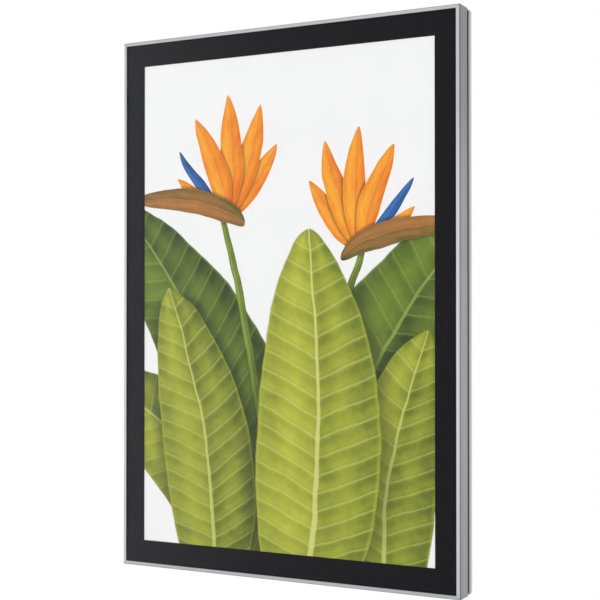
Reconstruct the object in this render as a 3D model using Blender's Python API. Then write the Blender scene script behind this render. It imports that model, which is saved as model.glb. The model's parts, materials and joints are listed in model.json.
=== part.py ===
# Backlit LED poster frame: mitred aluminium profile, lift-off clear cover with a black printed
# surround held by magnets, poster, opal diffuser, LED bars on a moulded rear cover.
# Metres, +Z up. The front faces -Y and the rear cover's back lies in the plane Y = 0.
import math

import bmesh
import bpy
from mathutils import Matrix, Vector

# Poster and the borders round it
POSTER_WIDTH = 0.594
POSTER_HEIGHT = 0.841
POSTER_THICKNESS = 0.0003
POSTER_OVERLAP = 0.010
SURROUND_BORDER = 0.0386
LIP_WIDTH = 0.006

# Depths from the lip's front plane
PROFILE_DEPTH = 0.0305
SHADOW_GAP = 0.0044
REAR_COVER_DEPTH = 0.0131

# Clearances
TOUCH_GAP = 0.0003
COVER_EDGE_PLAY = 0.0004
POSTER_PLAY = 0.001
HOLE_PLAY = 0.0003

# Aluminium profile
PROFILE_WALL = 0.0016
CHAMBER_WALL = 0.0014
LIP_RADIUS = 0.0016
PROFILE_TAPER = 0.002
PROFILE_TAPER_POWER = 1.2
PROFILE_REAR_RADIUS = 0.0012
LIP_GROOVE_DEPTH = 0.0006
LIP_GROOVE_WIDTH = 0.0012
FRONT_FLUTE_DEPTH = 0.0005
FRONT_FLUTE_PLACE = 0.0105
FRONT_FLUTE_WIDTH = 0.005
REAR_FLUTE_DEPTH = 0.0003
REAR_FLUTE_PLACE = 0.019
REAR_FLUTE_WIDTH = 0.004
FLANGE_WIDTH = 0.024
DIFFUSER_BEARING = 0.010

# Cover
COVER_RECESS = 0.0004
SHEET_THICKNESS = 0.003
PRINT_THICKNESS = 0.0004
MAGNET_WIDTH = 0.012
MAGNET_THICKNESS = 0.0015
MAGNET_END_SPACE = 0.030
MAGNET_INSET = 0.002
STEEL_THICKNESS = 0.001

# Diffuser
DIFFUSER_THICKNESS = 0.003
DIFFUSER_MARGIN = 0.007

# Corner keys and their screws
KEY_LEG = 0.060
KEY_WIDTH = 0.014
KEY_THICKNESS = 0.0025
KEY_SCREW_PLACE = 0.045
KEY_SCREW_RADIUS = 0.002
KEY_SCREW_HEAD_RADIUS = 0.00375
KEY_SCREW_HEAD_HEIGHT = 0.002
KEY_SCREW_LENGTH = 0.0055
SCREW_LINE_INSET = 0.015

# Rear cover
REAR_COVER_INSET = 0.0025
REAR_COVER_WALL = 0.0025
REAR_COVER_FLOOR = 0.0022
REAR_EDGE_RADIUS = 0.004
REAR_CORNER_RADIUS = 0.005
REAR_INNER_RADIUS = 0.0015
REAR_RIM_EDGE = 0.0004
SEAL_INSET = 0.0004
SEAL_WIDTH = 0.005

# Screw wells of the rear cover
WELL_RADIUS = 0.005
WELL_BORE_RADIUS = 0.0036
WELL_BOTTOM = 0.0025
COVER_SCREW_RADIUS = 0.00175
COVER_SCREW_HEAD_RADIUS = 0.00325
COVER_SCREW_HEAD_HEIGHT = 0.0022
COVER_SCREW_LENGTH = 0.0075
WELL_CORNER_SPACE_ACROSS = 0.112
WELL_CORNER_SPACE_UP = 0.1555

# Shape of every screw, as shares of its own radius, head radius or head height
SCREW_POINT_SHARE = 0.7
SCREW_TOP_SHARE = 0.75
SCREW_EDGE_SHARE = 0.55
SCREW_RECESS_SHARE = 0.4
SCREW_RECESS_DEPTH_SHARE = 0.6

# Keyhole plates
KEYHOLE_SIDE_SPACE = 0.1316
KEYHOLE_DROP = 0.072
KEYHOLE_RADIUS = 0.005
KEYHOLE_SLOT_WIDTH = 0.005
KEYHOLE_SLOT_RISE = 0.013
KEYHOLE_PLATE_WIDTH = 0.044
KEYHOLE_PLATE_HEIGHT = 0.060
KEYHOLE_PLATE_THICKNESS = 0.0015
KEYHOLE_PLATE_CORNER = 0.003
KEYHOLE_PLATE_PLAY = 0.0004
KEYHOLE_BOSS_WALL = 0.003
KEYHOLE_BOSS_BOTTOM = 0.0015
KEYHOLE_WINDOW_MARGIN = 0.0035
RIVET_RADIUS = 0.0016
RIVET_HEAD_RADIUS = 0.0031
RIVET_HEAD_HEIGHT = 0.0012
RIVET_CONE_HEIGHT = 0.0012
RIVET_END_SPACE = 0.006

# LED bars
LED_BAR_COUNT = 6
LED_BAR_EDGE_SPACE = 0.118
LED_BAR_END_SPACE = 0.046
LED_BAR_WIDTH = 0.018
LED_BAR_THICKNESS = 0.0012
LED_COUNT = 6
LED_END_SPACE = 0.0485
LED_LENS_RADIUS = 0.0075
LED_LENS_HEIGHT = 0.0045
# Points of the lens from its top down, as shares of its radius and height
LED_LENS_SHAPE = ((0, 1), (0.3, 1), (0.7, 0.75), (0.95, 0.35))
CONNECTOR_LENGTH = 0.010
CONNECTOR_WIDTH = 0.008
CONNECTOR_HEIGHT = 0.004
CONNECTOR_END_SPACE = 0.001

# Power inlet
INLET_CORNER_SPACE = 0.0916
INLET_FLANGE_RADIUS = 0.0046
INLET_FLANGE_HEIGHT = 0.0014
INLET_BARREL_RADIUS = 0.0038
INLET_LENGTH = 0.014
INLET_BORE_RADIUS = 0.0028
INLET_BORE_DEPTH = 0.0095
INLET_PIN_RADIUS = 0.001
INLET_PIN_SETBACK = 0.0015
INLET_NUT_ACROSS_FLATS = 0.0095
INLET_NUT_HEIGHT = 0.0022

# Leads
LEAD_RADIUS = 0.0015
LEAD_STRAIGHT = 0.005
LEAD_SPARE = 0.009
LEAD_STEP = 0.0075

# Worked out from the values above
INNER_BORDER = SURROUND_BORDER + LIP_WIDTH
APERTURE_WIDTH = POSTER_WIDTH - 2 * POSTER_OVERLAP
APERTURE_HEIGHT = POSTER_HEIGHT - 2 * POSTER_OVERLAP
WIDTH = APERTURE_WIDTH + 2 * INNER_BORDER
HEIGHT = APERTURE_HEIGHT + 2 * INNER_BORDER
DEPTH = PROFILE_DEPTH + SHADOW_GAP + REAR_COVER_DEPTH

PRINT_FRONT = COVER_RECESS + SHEET_THICKNESS + TOUCH_GAP
PRINT_REAR = PRINT_FRONT + PRINT_THICKNESS
MAGNET_FRONT = PRINT_REAR + TOUCH_GAP
STEEL_FRONT = MAGNET_FRONT + MAGNET_THICKNESS + TOUCH_GAP
LEDGE_FRONT = STEEL_FRONT + STEEL_THICKNESS + TOUCH_GAP
POSTER_FRONT = PRINT_REAR + POSTER_PLAY
DIFFUSER_FRONT = POSTER_FRONT + POSTER_THICKNESS + TOUCH_GAP
STEP_FRONT = DIFFUSER_FRONT + DIFFUSER_THICKNESS + TOUCH_GAP

SHEET_EDGE = LIP_WIDTH + COVER_EDGE_PLAY
MAGNET_EDGE = LIP_WIDTH + MAGNET_INSET
DIFFUSER_EDGE = INNER_BORDER - POSTER_OVERLAP - DIFFUSER_MARGIN
STEP_EDGE = DIFFUSER_EDGE - TOUCH_GAP
STEP_END = DIFFUSER_EDGE + DIFFUSER_BEARING

FLANGE_FRONT = PROFILE_DEPTH - PROFILE_WALL
KEY_REAR = FLANGE_FRONT - TOUCH_GAP
KEY_FRONT = KEY_REAR - KEY_THICKNESS
KEY_START = SCREW_LINE_INSET - KEY_WIDTH / 2
REAR_RIM = PROFILE_DEPTH + SHADOW_GAP
WELL_END = PROFILE_DEPTH + TOUCH_GAP
WELL_SEAT = WELL_END + WELL_BOTTOM
FLOOR_FRONT = DEPTH - REAR_COVER_FLOOR
BAR_REAR = FLOOR_FRONT - TOUCH_GAP
BAR_FRONT = BAR_REAR - LED_BAR_THICKNESS
LEAD_DEPTH = BAR_FRONT - CONNECTOR_HEIGHT / 2
PLATE_REAR = DEPTH - TOUCH_GAP
PLATE_FRONT = PLATE_REAR - KEYHOLE_PLATE_THICKNESS
POCKET_BOTTOM = PLATE_FRONT - TOUCH_GAP
BOSS_FRONT = POCKET_BOTTOM - KEYHOLE_BOSS_BOTTOM
INLET_DEPTH = REAR_RIM + INLET_FLANGE_RADIUS + TOUCH_GAP
WALL_INNER = REAR_COVER_INSET + REAR_COVER_WALL
KEYHOLE_X = WIDTH / 2 - KEYHOLE_SIDE_SPACE
INLET_X = WIDTH / 2 - INLET_CORNER_SPACE
LED_BAR_LENGTH = WIDTH - 2 * LED_BAR_END_SPACE
LED_BAR_PITCH = (HEIGHT - 2 * LED_BAR_EDGE_SPACE) / (LED_BAR_COUNT - 1)
LED_PITCH = (LED_BAR_LENGTH - 2 * LED_END_SPACE) / (LED_COUNT - 1)
CONNECTOR_X = LED_BAR_LENGTH / 2 - CONNECTOR_END_SPACE - CONNECTOR_LENGTH / 2

ROUND_SEGMENTS = 16
FIXING_SEGMENTS = 12
LENS_SEGMENTS = 10
SIDE_STEPS = 20
MITRE_SETBACK = TOUCH_GAP * math.sin(math.radians(45))
SHARP_ANGLE = math.radians(35)
CUT_MARGIN = 0.001
# Each copy in a set of holes is turned a little further, so that their corners don't line up
COPY_TURN = math.radians(7)

# Side name, turn about Y that brings the top side there, half the length, distance to the outer face
SIDES = {
    "top": (0, WIDTH / 2, HEIGHT / 2),
    "right": (90, HEIGHT / 2, WIDTH / 2),
    "bottom": (180, WIDTH / 2, HEIGHT / 2),
    "left": (270, HEIGHT / 2, WIDTH / 2),
}
CORNERS = {
    "top_left": (-1, 1),
    "top_right": (1, 1),
    "bottom_right": (1, -1),
    "bottom_left": (-1, -1),
}


def clear_scene():
    for obj in list(bpy.data.objects):
        bpy.data.objects.remove(obj, do_unlink=True)


def material(name, colour, roughness, metallic=0.0, transmission=0.0):
    made = bpy.data.materials.new(name)
    made.use_nodes = True
    shader = made.node_tree.nodes["Principled BSDF"]
    shader.inputs["Base Color"].default_value = (*colour, 1.0)
    shader.inputs["Roughness"].default_value = roughness
    shader.inputs["Metallic"].default_value = metallic
    shader.inputs["Transmission Weight"].default_value = transmission
    made.diffuse_color = (*colour, 1.0)
    return made


def add_mesh(name, bm, finish=None):
    """Turn a bmesh into a named object with its faces pointing outwards."""
    bmesh.ops.recalc_face_normals(bm, faces=bm.faces)
    mesh = bpy.data.meshes.new(name)
    bm.to_mesh(mesh)
    bm.free()
    mesh.shade_smooth()
    mesh.set_sharp_from_angle(angle=SHARP_ANGLE)
    obj = bpy.data.objects.new(name, mesh)
    bpy.context.scene.collection.objects.link(obj)
    if finish is not None:
        mesh.materials.append(finish)
    return obj


def as_cutter(obj):
    obj.hide_render = True
    obj.display_type = "WIRE"
    return obj


def boolean(obj, tool, operation="DIFFERENCE"):
    step = obj.modifiers.new(tool.name, "BOOLEAN")
    step.operation = operation
    step.solver = "EXACT"
    step.object = tool


def y_of(depth):
    """World Y of a depth measured from the lip's front plane."""
    return depth - DEPTH


def side_point(side, along, inset, depth):
    """World point on a side: along it, in from its outer face and back from the front."""
    turn, _, reach = SIDES[side]
    point = Vector((along, y_of(depth), reach - inset))
    return Matrix.Rotation(math.radians(turn), 3, "Y") @ point


def arc(centre, radius, start, end, steps):
    """Points on an arc, angles in degrees from the first axis towards the second."""
    points = []
    for step in range(steps + 1):
        angle = math.radians(start + (end - start) * step / steps)
        points.append((centre[0] + radius * math.cos(angle), centre[1] + radius * math.sin(angle)))
    return points


def rounded_rectangle(width, height, radius, steps=4):
    """Outline of a rectangle with round corners, centred, as (x, z) points."""
    right = width / 2 - radius
    top = height / 2 - radius
    points = []
    for x, z, start in ((right, top, 0), (-right, top, 90), (-right, -top, 180), (right, -top, 270)):
        points += arc((x, z), radius, start, start + 90, steps)
    return points


def rectangle(width, height):
    return [
        (width / 2, height / 2),
        (-width / 2, height / 2),
        (-width / 2, -height / 2),
        (width / 2, -height / 2),
    ]


def add_loop(bm, outline, depth):
    return [bm.verts.new((x, y_of(depth), z)) for x, z in outline]


def join_loops(bm, first, second):
    count = len(first)
    for i in range(count):
        j = (i + 1) % count
        bm.faces.new((first[i], first[j], second[j], second[i]))


def slab(name, outline, front, rear, finish=None, centre=(0, 0)):
    """A flat outline in XZ made into a plate between two depths."""
    bm = bmesh.new()
    moved = [(x + centre[0], z + centre[1]) for x, z in outline]
    loops = [add_loop(bm, moved, front), add_loop(bm, moved, rear)]
    join_loops(bm, *loops)
    for loop in loops:
        bm.faces.new(loop)
    return add_mesh(name, bm, finish)


def flat_ring(name, outer, inner, front, rear, finish):
    """A flat band between two outlines with the same number of points."""
    bm = bmesh.new()
    loops = [
        add_loop(bm, outer, front),
        add_loop(bm, outer, rear),
        add_loop(bm, inner, rear),
        add_loop(bm, inner, front),
    ]
    for index, loop in enumerate(loops):
        join_loops(bm, loop, loops[(index + 1) % len(loops)])
    return add_mesh(name, bm, finish)


def turned_bmesh(profile, segments=ROUND_SEGMENTS):
    """Spin (radius, height) points about Z into one closed solid with flat ends."""
    bm = bmesh.new()
    verts = [bm.verts.new((radius, 0, height)) for radius, height in profile]
    edges = [bm.edges.new(pair) for pair in zip(verts, verts[1:])]
    bmesh.ops.spin(
        bm,
        geom=verts + edges,
        axis=(0, 0, 1),
        cent=(0, 0, 0),
        angle=math.tau,
        steps=segments,
        use_merge=True,
    )
    bmesh.ops.remove_doubles(bm, verts=bm.verts, dist=0.000001)
    middles = [vert for vert in bm.verts if math.hypot(vert.co.x, vert.co.y) < 0.00001]
    bmesh.ops.dissolve_verts(bm, verts=middles)
    return bm


# Turns that bring a turned piece's +Z to the way it points
POINTS_FORWARD = Matrix.Rotation(math.radians(90), 4, "X")
POINTS_DOWN = Matrix.Rotation(math.radians(180), 4, "X")


def turned(name, profile, place, turn, finish=None, segments=ROUND_SEGMENTS):
    bm = turned_bmesh(profile, segments)
    bmesh.ops.transform(bm, matrix=turn, verts=bm.verts)
    obj = add_mesh(name, bm, finish)
    obj.location = place
    return obj


def turned_set(name, profile, places, turn, segments=ROUND_SEGMENTS):
    """Copies of one turned shape in one mesh, for cutting several holes at once."""
    joined = bmesh.new()
    for index, place in enumerate(places):
        bm = turned_bmesh(profile, segments)
        spread = Matrix.Rotation(index * COPY_TURN, 4, "Z")
        bmesh.ops.transform(bm, matrix=Matrix.Translation(place) @ turn @ spread, verts=bm.verts)
        bmesh.ops.recalc_face_normals(bm, faces=bm.faces)
        mesh = bpy.data.meshes.new(name)
        bm.to_mesh(mesh)
        bm.free()
        joined.from_mesh(mesh)
        bpy.data.meshes.remove(mesh)
    return as_cutter(add_mesh(name, joined))


def join_cutters(name, cutters):
    """One cutter from several that don't touch; the separate ones go."""
    joined = bmesh.new()
    for cutter in cutters:
        cutter.data.transform(cutter.matrix_basis)
        joined.from_mesh(cutter.data)
        bpy.data.objects.remove(cutter, do_unlink=True)
    return as_cutter(add_mesh(name, joined))


def screw_profile(radius, length, head_radius, head_height):
    """Pan head at the bottom of +Z, shank rising from it; the head's bearing face is at zero."""
    point_radius = radius * SCREW_POINT_SHARE
    top_radius = head_radius * SCREW_TOP_SHARE
    recess_radius = head_radius * SCREW_RECESS_SHARE
    recess_bottom = head_height * (SCREW_RECESS_DEPTH_SHARE - 1)
    return [
        (0, length),
        (point_radius, length),
        (radius, length - (radius - point_radius)),
        (radius, 0),
        (head_radius, 0),
        (head_radius, -head_height * SCREW_EDGE_SHARE),
        (top_radius, -head_height),
        (recess_radius, -head_height),
        (recess_radius, recess_bottom),
        (0, recess_bottom),
    ]


# Screw positions: (side, along)
def key_screw_places():
    for side, (_, half, _) in SIDES.items():
        for end in (-1, 1):
            yield side, end * (half - KEY_SCREW_PLACE)


def cover_screw_places():
    for side, (_, half, _) in SIDES.items():
        level = side in ("top", "bottom")
        space = WELL_CORNER_SPACE_ACROSS if level else WELL_CORNER_SPACE_UP
        for end in (-1, 1):
            yield side, end * (half - space)


def profile_side_inset(depth):
    """How far the profile's outer face lies inside the frame's edge: a taper with two flutes."""
    start = LIP_RADIUS + LIP_GROOVE_WIDTH
    inset = PROFILE_TAPER * (max(depth - start, 0) / (PROFILE_DEPTH - start)) ** PROFILE_TAPER_POWER
    flutes = (
        (FRONT_FLUTE_PLACE, FRONT_FLUTE_WIDTH, FRONT_FLUTE_DEPTH),
        (REAR_FLUTE_PLACE, REAR_FLUTE_WIDTH, REAR_FLUTE_DEPTH),
    )
    for place, width, flute_depth in flutes:
        across = abs(depth - place) / (width / 2)
        if across < 1:
            inset += flute_depth * math.cos(across * math.pi / 2) ** 2
    return inset


def profile_section():
    """The extrusion's section as (inset from the outer face, depth from the front)."""
    groove_slope = LIP_GROOVE_DEPTH / 2
    groove_start = LIP_RADIUS + groove_slope
    groove_end = groove_start + LIP_GROOVE_WIDTH
    side_end = PROFILE_DEPTH - PROFILE_REAR_RADIUS
    rear_inset = profile_side_inset(PROFILE_DEPTH)
    chamber_edge = LIP_WIDTH - CHAMBER_WALL
    step_root = STEP_EDGE - PROFILE_WALL
    points = [(LIP_WIDTH, 0)]
    points += arc((LIP_RADIUS, LIP_RADIUS), LIP_RADIUS, 270, 180, 4)
    points += [
        (0, groove_start),
        (LIP_GROOVE_DEPTH, groove_start + groove_slope),
        (LIP_GROOVE_DEPTH, groove_end - groove_slope),
    ]
    for step in range(SIDE_STEPS):
        depth = groove_end + (side_end - groove_end) * step / SIDE_STEPS
        points.append((profile_side_inset(depth), depth))
    points += arc(
        (rear_inset + PROFILE_REAR_RADIUS, side_end), PROFILE_REAR_RADIUS, 180, 90, 3
    )
    points += [(FLANGE_WIDTH, PROFILE_DEPTH), (FLANGE_WIDTH, FLANGE_FRONT)]
    for depth in (FLANGE_FRONT, PROFILE_DEPTH / 2):
        points.append((profile_side_inset(depth) + PROFILE_WALL, depth))
    points += [
        (profile_side_inset(FRONT_FLUTE_PLACE) + PROFILE_WALL, FRONT_FLUTE_PLACE),
        (PROFILE_WALL, groove_end + PROFILE_WALL),
        (PROFILE_WALL + LIP_GROOVE_DEPTH, groove_end),
        (PROFILE_WALL + LIP_GROOVE_DEPTH, PROFILE_WALL),
        (chamber_edge, PROFILE_WALL),
        (chamber_edge, LEDGE_FRONT + PROFILE_WALL),
        (step_root, LEDGE_FRONT + PROFILE_WALL),
        (step_root, STEP_FRONT + PROFILE_WALL),
        (STEP_END, STEP_FRONT + PROFILE_WALL),
        (STEP_END, STEP_FRONT),
        (STEP_EDGE, STEP_FRONT),
        (STEP_EDGE, LEDGE_FRONT),
        (LIP_WIDTH, LEDGE_FRONT),
    ]
    return points


def add_profiles(finish, flange_bores):
    section = profile_section()
    for side, (turn, half, reach) in SIDES.items():
        bm = bmesh.new()
        ends = []
        for end in (-1, 1):
            loop = []
            for inset, depth in section:
                along = end * (half - inset - MITRE_SETBACK)
                loop.append(bm.verts.new((along, y_of(depth), reach - inset)))
            ends.append(loop)
        join_loops(bm, *ends)
        for loop in ends:
            bm.faces.new(loop)
        obj = add_mesh(f"frame_profile_{side}", bm, finish)
        obj.rotation_euler = (0, math.radians(turn), 0)
        boolean(obj, flange_bores)


def add_corner_keys(finish, screw_finish, flange_bores):
    inner = KEY_START + KEY_WIDTH
    outline = [
        (KEY_START, KEY_START),
        (KEY_LEG, KEY_START),
        (KEY_LEG, inner),
        (inner, inner),
        (inner, KEY_LEG),
        (KEY_START, KEY_LEG),
    ]
    for corner, (right, up) in CORNERS.items():
        points = [(right * (WIDTH / 2 - u), up * (HEIGHT / 2 - v)) for u, v in outline]
        key = slab(f"corner_key_{corner}", points, KEY_FRONT, KEY_REAR, finish)
        boolean(key, flange_bores)
    profile = screw_profile(
        KEY_SCREW_RADIUS, KEY_SCREW_LENGTH, KEY_SCREW_HEAD_RADIUS, KEY_SCREW_HEAD_HEIGHT
    )
    for index, (side, along) in enumerate(key_screw_places(), start=1):
        place = side_point(side, along, SCREW_LINE_INSET, WELL_END)
        turned(f"corner_screw_{index}", profile, place, POINTS_FORWARD, screw_finish, FIXING_SEGMENTS)


def add_flange_bores():
    """Holes for the key screws and the cover screws, through flanges and corner keys."""
    front = KEY_FRONT - CUT_MARGIN
    length = PROFILE_DEPTH + CUT_MARGIN - front
    sets = (
        ("key_screw_bores", KEY_SCREW_RADIUS, key_screw_places()),
        ("cover_screw_bores", COVER_SCREW_RADIUS, cover_screw_places()),
    )
    bores = []
    for name, radius, screws in sets:
        bore = radius + HOLE_PLAY
        places = [side_point(side, along, SCREW_LINE_INSET, front) for side, along in screws]
        profile = [(0, 0), (bore, 0), (bore, -length), (0, -length)]
        bores.append(turned_set(name, profile, places, POINTS_FORWARD))
    return join_cutters("flange_bores", bores)


def add_cover(clear, black, magnet):
    sheet_width = WIDTH - 2 * SHEET_EDGE
    sheet_height = HEIGHT - 2 * SHEET_EDGE
    sheet = rectangle(sheet_width, sheet_height)
    slab("front_sheet", sheet, COVER_RECESS, COVER_RECESS + SHEET_THICKNESS, clear)
    aperture = rectangle(APERTURE_WIDTH, APERTURE_HEIGHT)
    flat_ring("black_surround", sheet, aperture, PRINT_FRONT, PRINT_REAR, black)
    add_side_strips("magnet_strip", MAGNET_FRONT, MAGNET_THICKNESS, magnet)


def add_side_strips(name, front, thickness, finish):
    """One straight strip along each side, over the ledge."""
    for side, (_, half, reach) in SIDES.items():
        half_length = half - MAGNET_END_SPACE
        middle = reach - MAGNET_EDGE - MAGNET_WIDTH / 2
        if side in ("top", "bottom"):
            outline = rectangle(2 * half_length, MAGNET_WIDTH)
            centre = (0, middle if side == "top" else -middle)
        else:
            outline = rectangle(MAGNET_WIDTH, 2 * half_length)
            centre = (middle if side == "right" else -middle, 0)
        slab(f"{name}_{side}", outline, front, front + thickness, finish, centre)


def add_picture(print_finish, opal):
    poster = rectangle(POSTER_WIDTH, POSTER_HEIGHT)
    slab("poster_print", poster, POSTER_FRONT, POSTER_FRONT + POSTER_THICKNESS, print_finish)
    diffuser = rectangle(WIDTH - 2 * DIFFUSER_EDGE, HEIGHT - 2 * DIFFUSER_EDGE)
    rear = DIFFUSER_FRONT + DIFFUSER_THICKNESS
    slab("diffuser_sheet", diffuser, DIFFUSER_FRONT, rear, opal)


def cover_loop(bm, inset, depth):
    radius = max(REAR_CORNER_RADIUS - (inset - REAR_COVER_INSET), REAR_RIM_EDGE)
    outline = rounded_rectangle(WIDTH - 2 * inset, HEIGHT - 2 * inset, radius)
    return add_loop(bm, outline, depth)


def rear_cover_section():
    """From the floor's inner face, round the rim and out to the floor's back."""
    inner_round = arc(
        (WALL_INNER + REAR_INNER_RADIUS, FLOOR_FRONT - REAR_INNER_RADIUS), REAR_INNER_RADIUS, 90, 180, 3
    )
    outer_round = arc(
        (REAR_COVER_INSET + REAR_EDGE_RADIUS, DEPTH - REAR_EDGE_RADIUS), REAR_EDGE_RADIUS, 180, 90, 6
    )
    edge = [
        (WALL_INNER, REAR_RIM),
        (REAR_COVER_INSET + REAR_RIM_EDGE, REAR_RIM),
        (REAR_COVER_INSET, REAR_RIM + REAR_RIM_EDGE),
    ]
    return inner_round + edge + outer_round


def keyhole_centres():
    for right in (-1, 1):
        yield right * KEYHOLE_X, HEIGHT / 2 - KEYHOLE_DROP


def keyhole_outline():
    """Round hole with a narrower slot rising from it, round at its top."""
    slot = KEYHOLE_SLOT_WIDTH / 2
    meet = math.degrees(math.asin(slot / KEYHOLE_RADIUS))
    hole = arc((0, 0), KEYHOLE_RADIUS, 90 + meet, 450 - meet, 16)
    return hole + arc((0, KEYHOLE_SLOT_RISE), slot, 0, 180, 6)


def window_size():
    """The opening behind a keyhole, clear of the hole and the slot."""
    margin = KEYHOLE_WINDOW_MARGIN
    width = 2 * (KEYHOLE_RADIUS + margin)
    height = KEYHOLE_RADIUS + KEYHOLE_SLOT_RISE + KEYHOLE_SLOT_WIDTH / 2 + 2 * margin
    middle = (KEYHOLE_SLOT_RISE + KEYHOLE_SLOT_WIDTH / 2 - KEYHOLE_RADIUS) / 2
    return width, height, middle


def rivet_places():
    _, _, middle = window_size()
    for x, z in keyhole_centres():
        for up in (-1, 1):
            yield x, z + middle + up * (KEYHOLE_PLATE_HEIGHT / 2 - RIVET_END_SPACE)


def rivet_slope():
    return (RIVET_HEAD_RADIUS - RIVET_RADIUS) / RIVET_CONE_HEIGHT


def add_keyhole_plates(finish):
    """Steel plates that lie flush in the rear cover, countersunk for their rivets."""
    _, _, middle = window_size()
    outline = rounded_rectangle(
        KEYHOLE_PLATE_WIDTH, KEYHOLE_PLATE_HEIGHT, KEYHOLE_PLATE_CORNER, 3
    )
    places = [Vector((x, y_of(PLATE_REAR), z)) for x, z in rivet_places()]
    hole = RIVET_RADIUS + HOLE_PLAY
    front = KEYHOLE_PLATE_THICKNESS + CUT_MARGIN
    profile = [
        (0, front),
        (hole, front),
        (hole, RIVET_CONE_HEIGHT),
        (hole + rivet_slope() * (RIVET_CONE_HEIGHT + CUT_MARGIN), -CUT_MARGIN),
        (0, -CUT_MARGIN),
    ]
    bores = turned_set("rivet_plate_bores", profile, places, POINTS_FORWARD, FIXING_SEGMENTS)
    for name, (x, z) in zip(("left", "right"), keyhole_centres()):
        cut = slab(
            f"keyhole_cut_{name}",
            keyhole_outline(),
            PLATE_FRONT - CUT_MARGIN,
            PLATE_REAR + CUT_MARGIN,
            centre=(x, z),
        )
        plate = slab(
            f"keyhole_plate_{name}", outline, PLATE_FRONT, PLATE_REAR, finish, (x, z + middle)
        )
        boolean(plate, as_cutter(cut))
        boolean(plate, bores)


def add_rivets(finish):
    """Countersunk heads level with the plates, and plain heads on the bosses inside."""
    cone_start = PLATE_REAR - RIVET_CONE_HEIGHT
    tail_seat = BOSS_FRONT - TOUCH_GAP
    profile = [
        (0, RIVET_HEAD_HEIGHT),
        (RIVET_HEAD_RADIUS - RIVET_HEAD_HEIGHT / 2, RIVET_HEAD_HEIGHT),
        (RIVET_HEAD_RADIUS, RIVET_HEAD_HEIGHT / 2),
        (RIVET_HEAD_RADIUS, 0),
        (RIVET_RADIUS, 0),
        (RIVET_RADIUS, tail_seat - cone_start),
        (RIVET_HEAD_RADIUS, tail_seat - PLATE_REAR),
        (0, tail_seat - PLATE_REAR),
    ]
    for index, (x, z) in enumerate(rivet_places(), start=1):
        place = (x, y_of(tail_seat), z)
        turned(f"plate_rivet_{index}", profile, place, POINTS_FORWARD, finish, FIXING_SEGMENTS)


def add_keyhole_bosses():
    """Thickened patches of the floor, and the pockets and windows that are cut into them."""
    width, height, middle = window_size()
    play = 2 * KEYHOLE_PLATE_PLAY
    wall = 2 * KEYHOLE_BOSS_WALL
    pocket = (KEYHOLE_PLATE_WIDTH + play, KEYHOLE_PLATE_HEIGHT + play)
    boss = (pocket[0] + wall, pocket[1] + wall)
    radius = KEYHOLE_PLATE_CORNER
    shapes = (
        ("boss", boss, radius + KEYHOLE_BOSS_WALL, BOSS_FRONT, DEPTH - REAR_COVER_FLOOR / 2),
        ("pocket", pocket, radius, POCKET_BOTTOM, DEPTH + CUT_MARGIN),
        ("window", (width, height), radius, BOSS_FRONT - CUT_MARGIN, DEPTH),
    )
    made = {kind: [] for kind, *_ in shapes}
    for name, (x, z) in zip(("left", "right"), keyhole_centres()):
        for kind, size, corner, front, rear in shapes:
            outline = rounded_rectangle(*size, corner, 3)
            cutter = slab(f"keyhole_{kind}_{name}", outline, front, rear, centre=(x, z + middle))
            made[kind].append(cutter)
    hole = RIVET_RADIUS + HOLE_PLAY
    length = POCKET_BOTTOM - BOSS_FRONT + 2 * CUT_MARGIN
    places = [Vector((x, y_of(POCKET_BOTTOM + CUT_MARGIN), z)) for x, z in rivet_places()]
    profile = [(0, length), (hole, length), (hole, 0), (0, 0)]
    made["window"].append(turned_set("rivet_boss_bores", profile, places, POINTS_FORWARD, FIXING_SEGMENTS))
    return made


def add_wells():
    """Screw wells standing on the flange, and the stepped bores that open them to the rear."""
    tops = [side_point(side, along, SCREW_LINE_INSET, WELL_END) for side, along in cover_screw_places()]
    root = WELL_END - FLOOR_FRONT - REAR_COVER_FLOOR / 2
    tube = [(0, 0), (WELL_RADIUS, 0), (WELL_RADIUS, root), (0, root)]
    wells = turned_set("screw_wells", tube, tops, POINTS_FORWARD)
    hole = COVER_SCREW_RADIUS + HOLE_PLAY
    back = WELL_END - DEPTH - CUT_MARGIN
    stepped = [
        (0, CUT_MARGIN),
        (hole, CUT_MARGIN),
        (hole, -WELL_BOTTOM),
        (WELL_BORE_RADIUS, -WELL_BOTTOM),
        (WELL_BORE_RADIUS, back),
        (0, back),
    ]
    return wells, turned_set("screw_well_bores", stepped, tops, POINTS_FORWARD)


def add_rear_cover(finish):
    bm = bmesh.new()
    loops = [cover_loop(bm, inset, depth) for inset, depth in rear_cover_section()]
    for first, second in zip(loops, loops[1:]):
        join_loops(bm, first, second)
    for loop in (loops[0], loops[-1]):
        bm.faces.new(loop)
    cover = add_mesh("rear_cover", bm, finish)
    wells, well_bores = add_wells()
    keyholes = add_keyhole_bosses()
    boolean(cover, join_cutters("rear_cover_bosses", [wells, *keyholes["boss"]]), "UNION")
    boolean(cover, join_cutters("keyhole_pockets", keyholes["pocket"]))
    cuts = [well_bores, add_inlet_bore(), *keyholes["window"]]
    boolean(cover, join_cutters("rear_cover_cuts", cuts))


def add_inlet_bore():
    radius = INLET_BARREL_RADIUS + HOLE_PLAY
    length = REAR_COVER_WALL + 2 * CUT_MARGIN
    profile = [(0, 0), (radius, 0), (radius, -length), (0, -length)]
    wall_inner = side_point("bottom", 0, WALL_INNER + CUT_MARGIN, INLET_DEPTH)
    place = Vector((INLET_X, wall_inner.y, wall_inner.z))
    return turned("inlet_bore", profile, place, Matrix.Identity(4))


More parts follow.
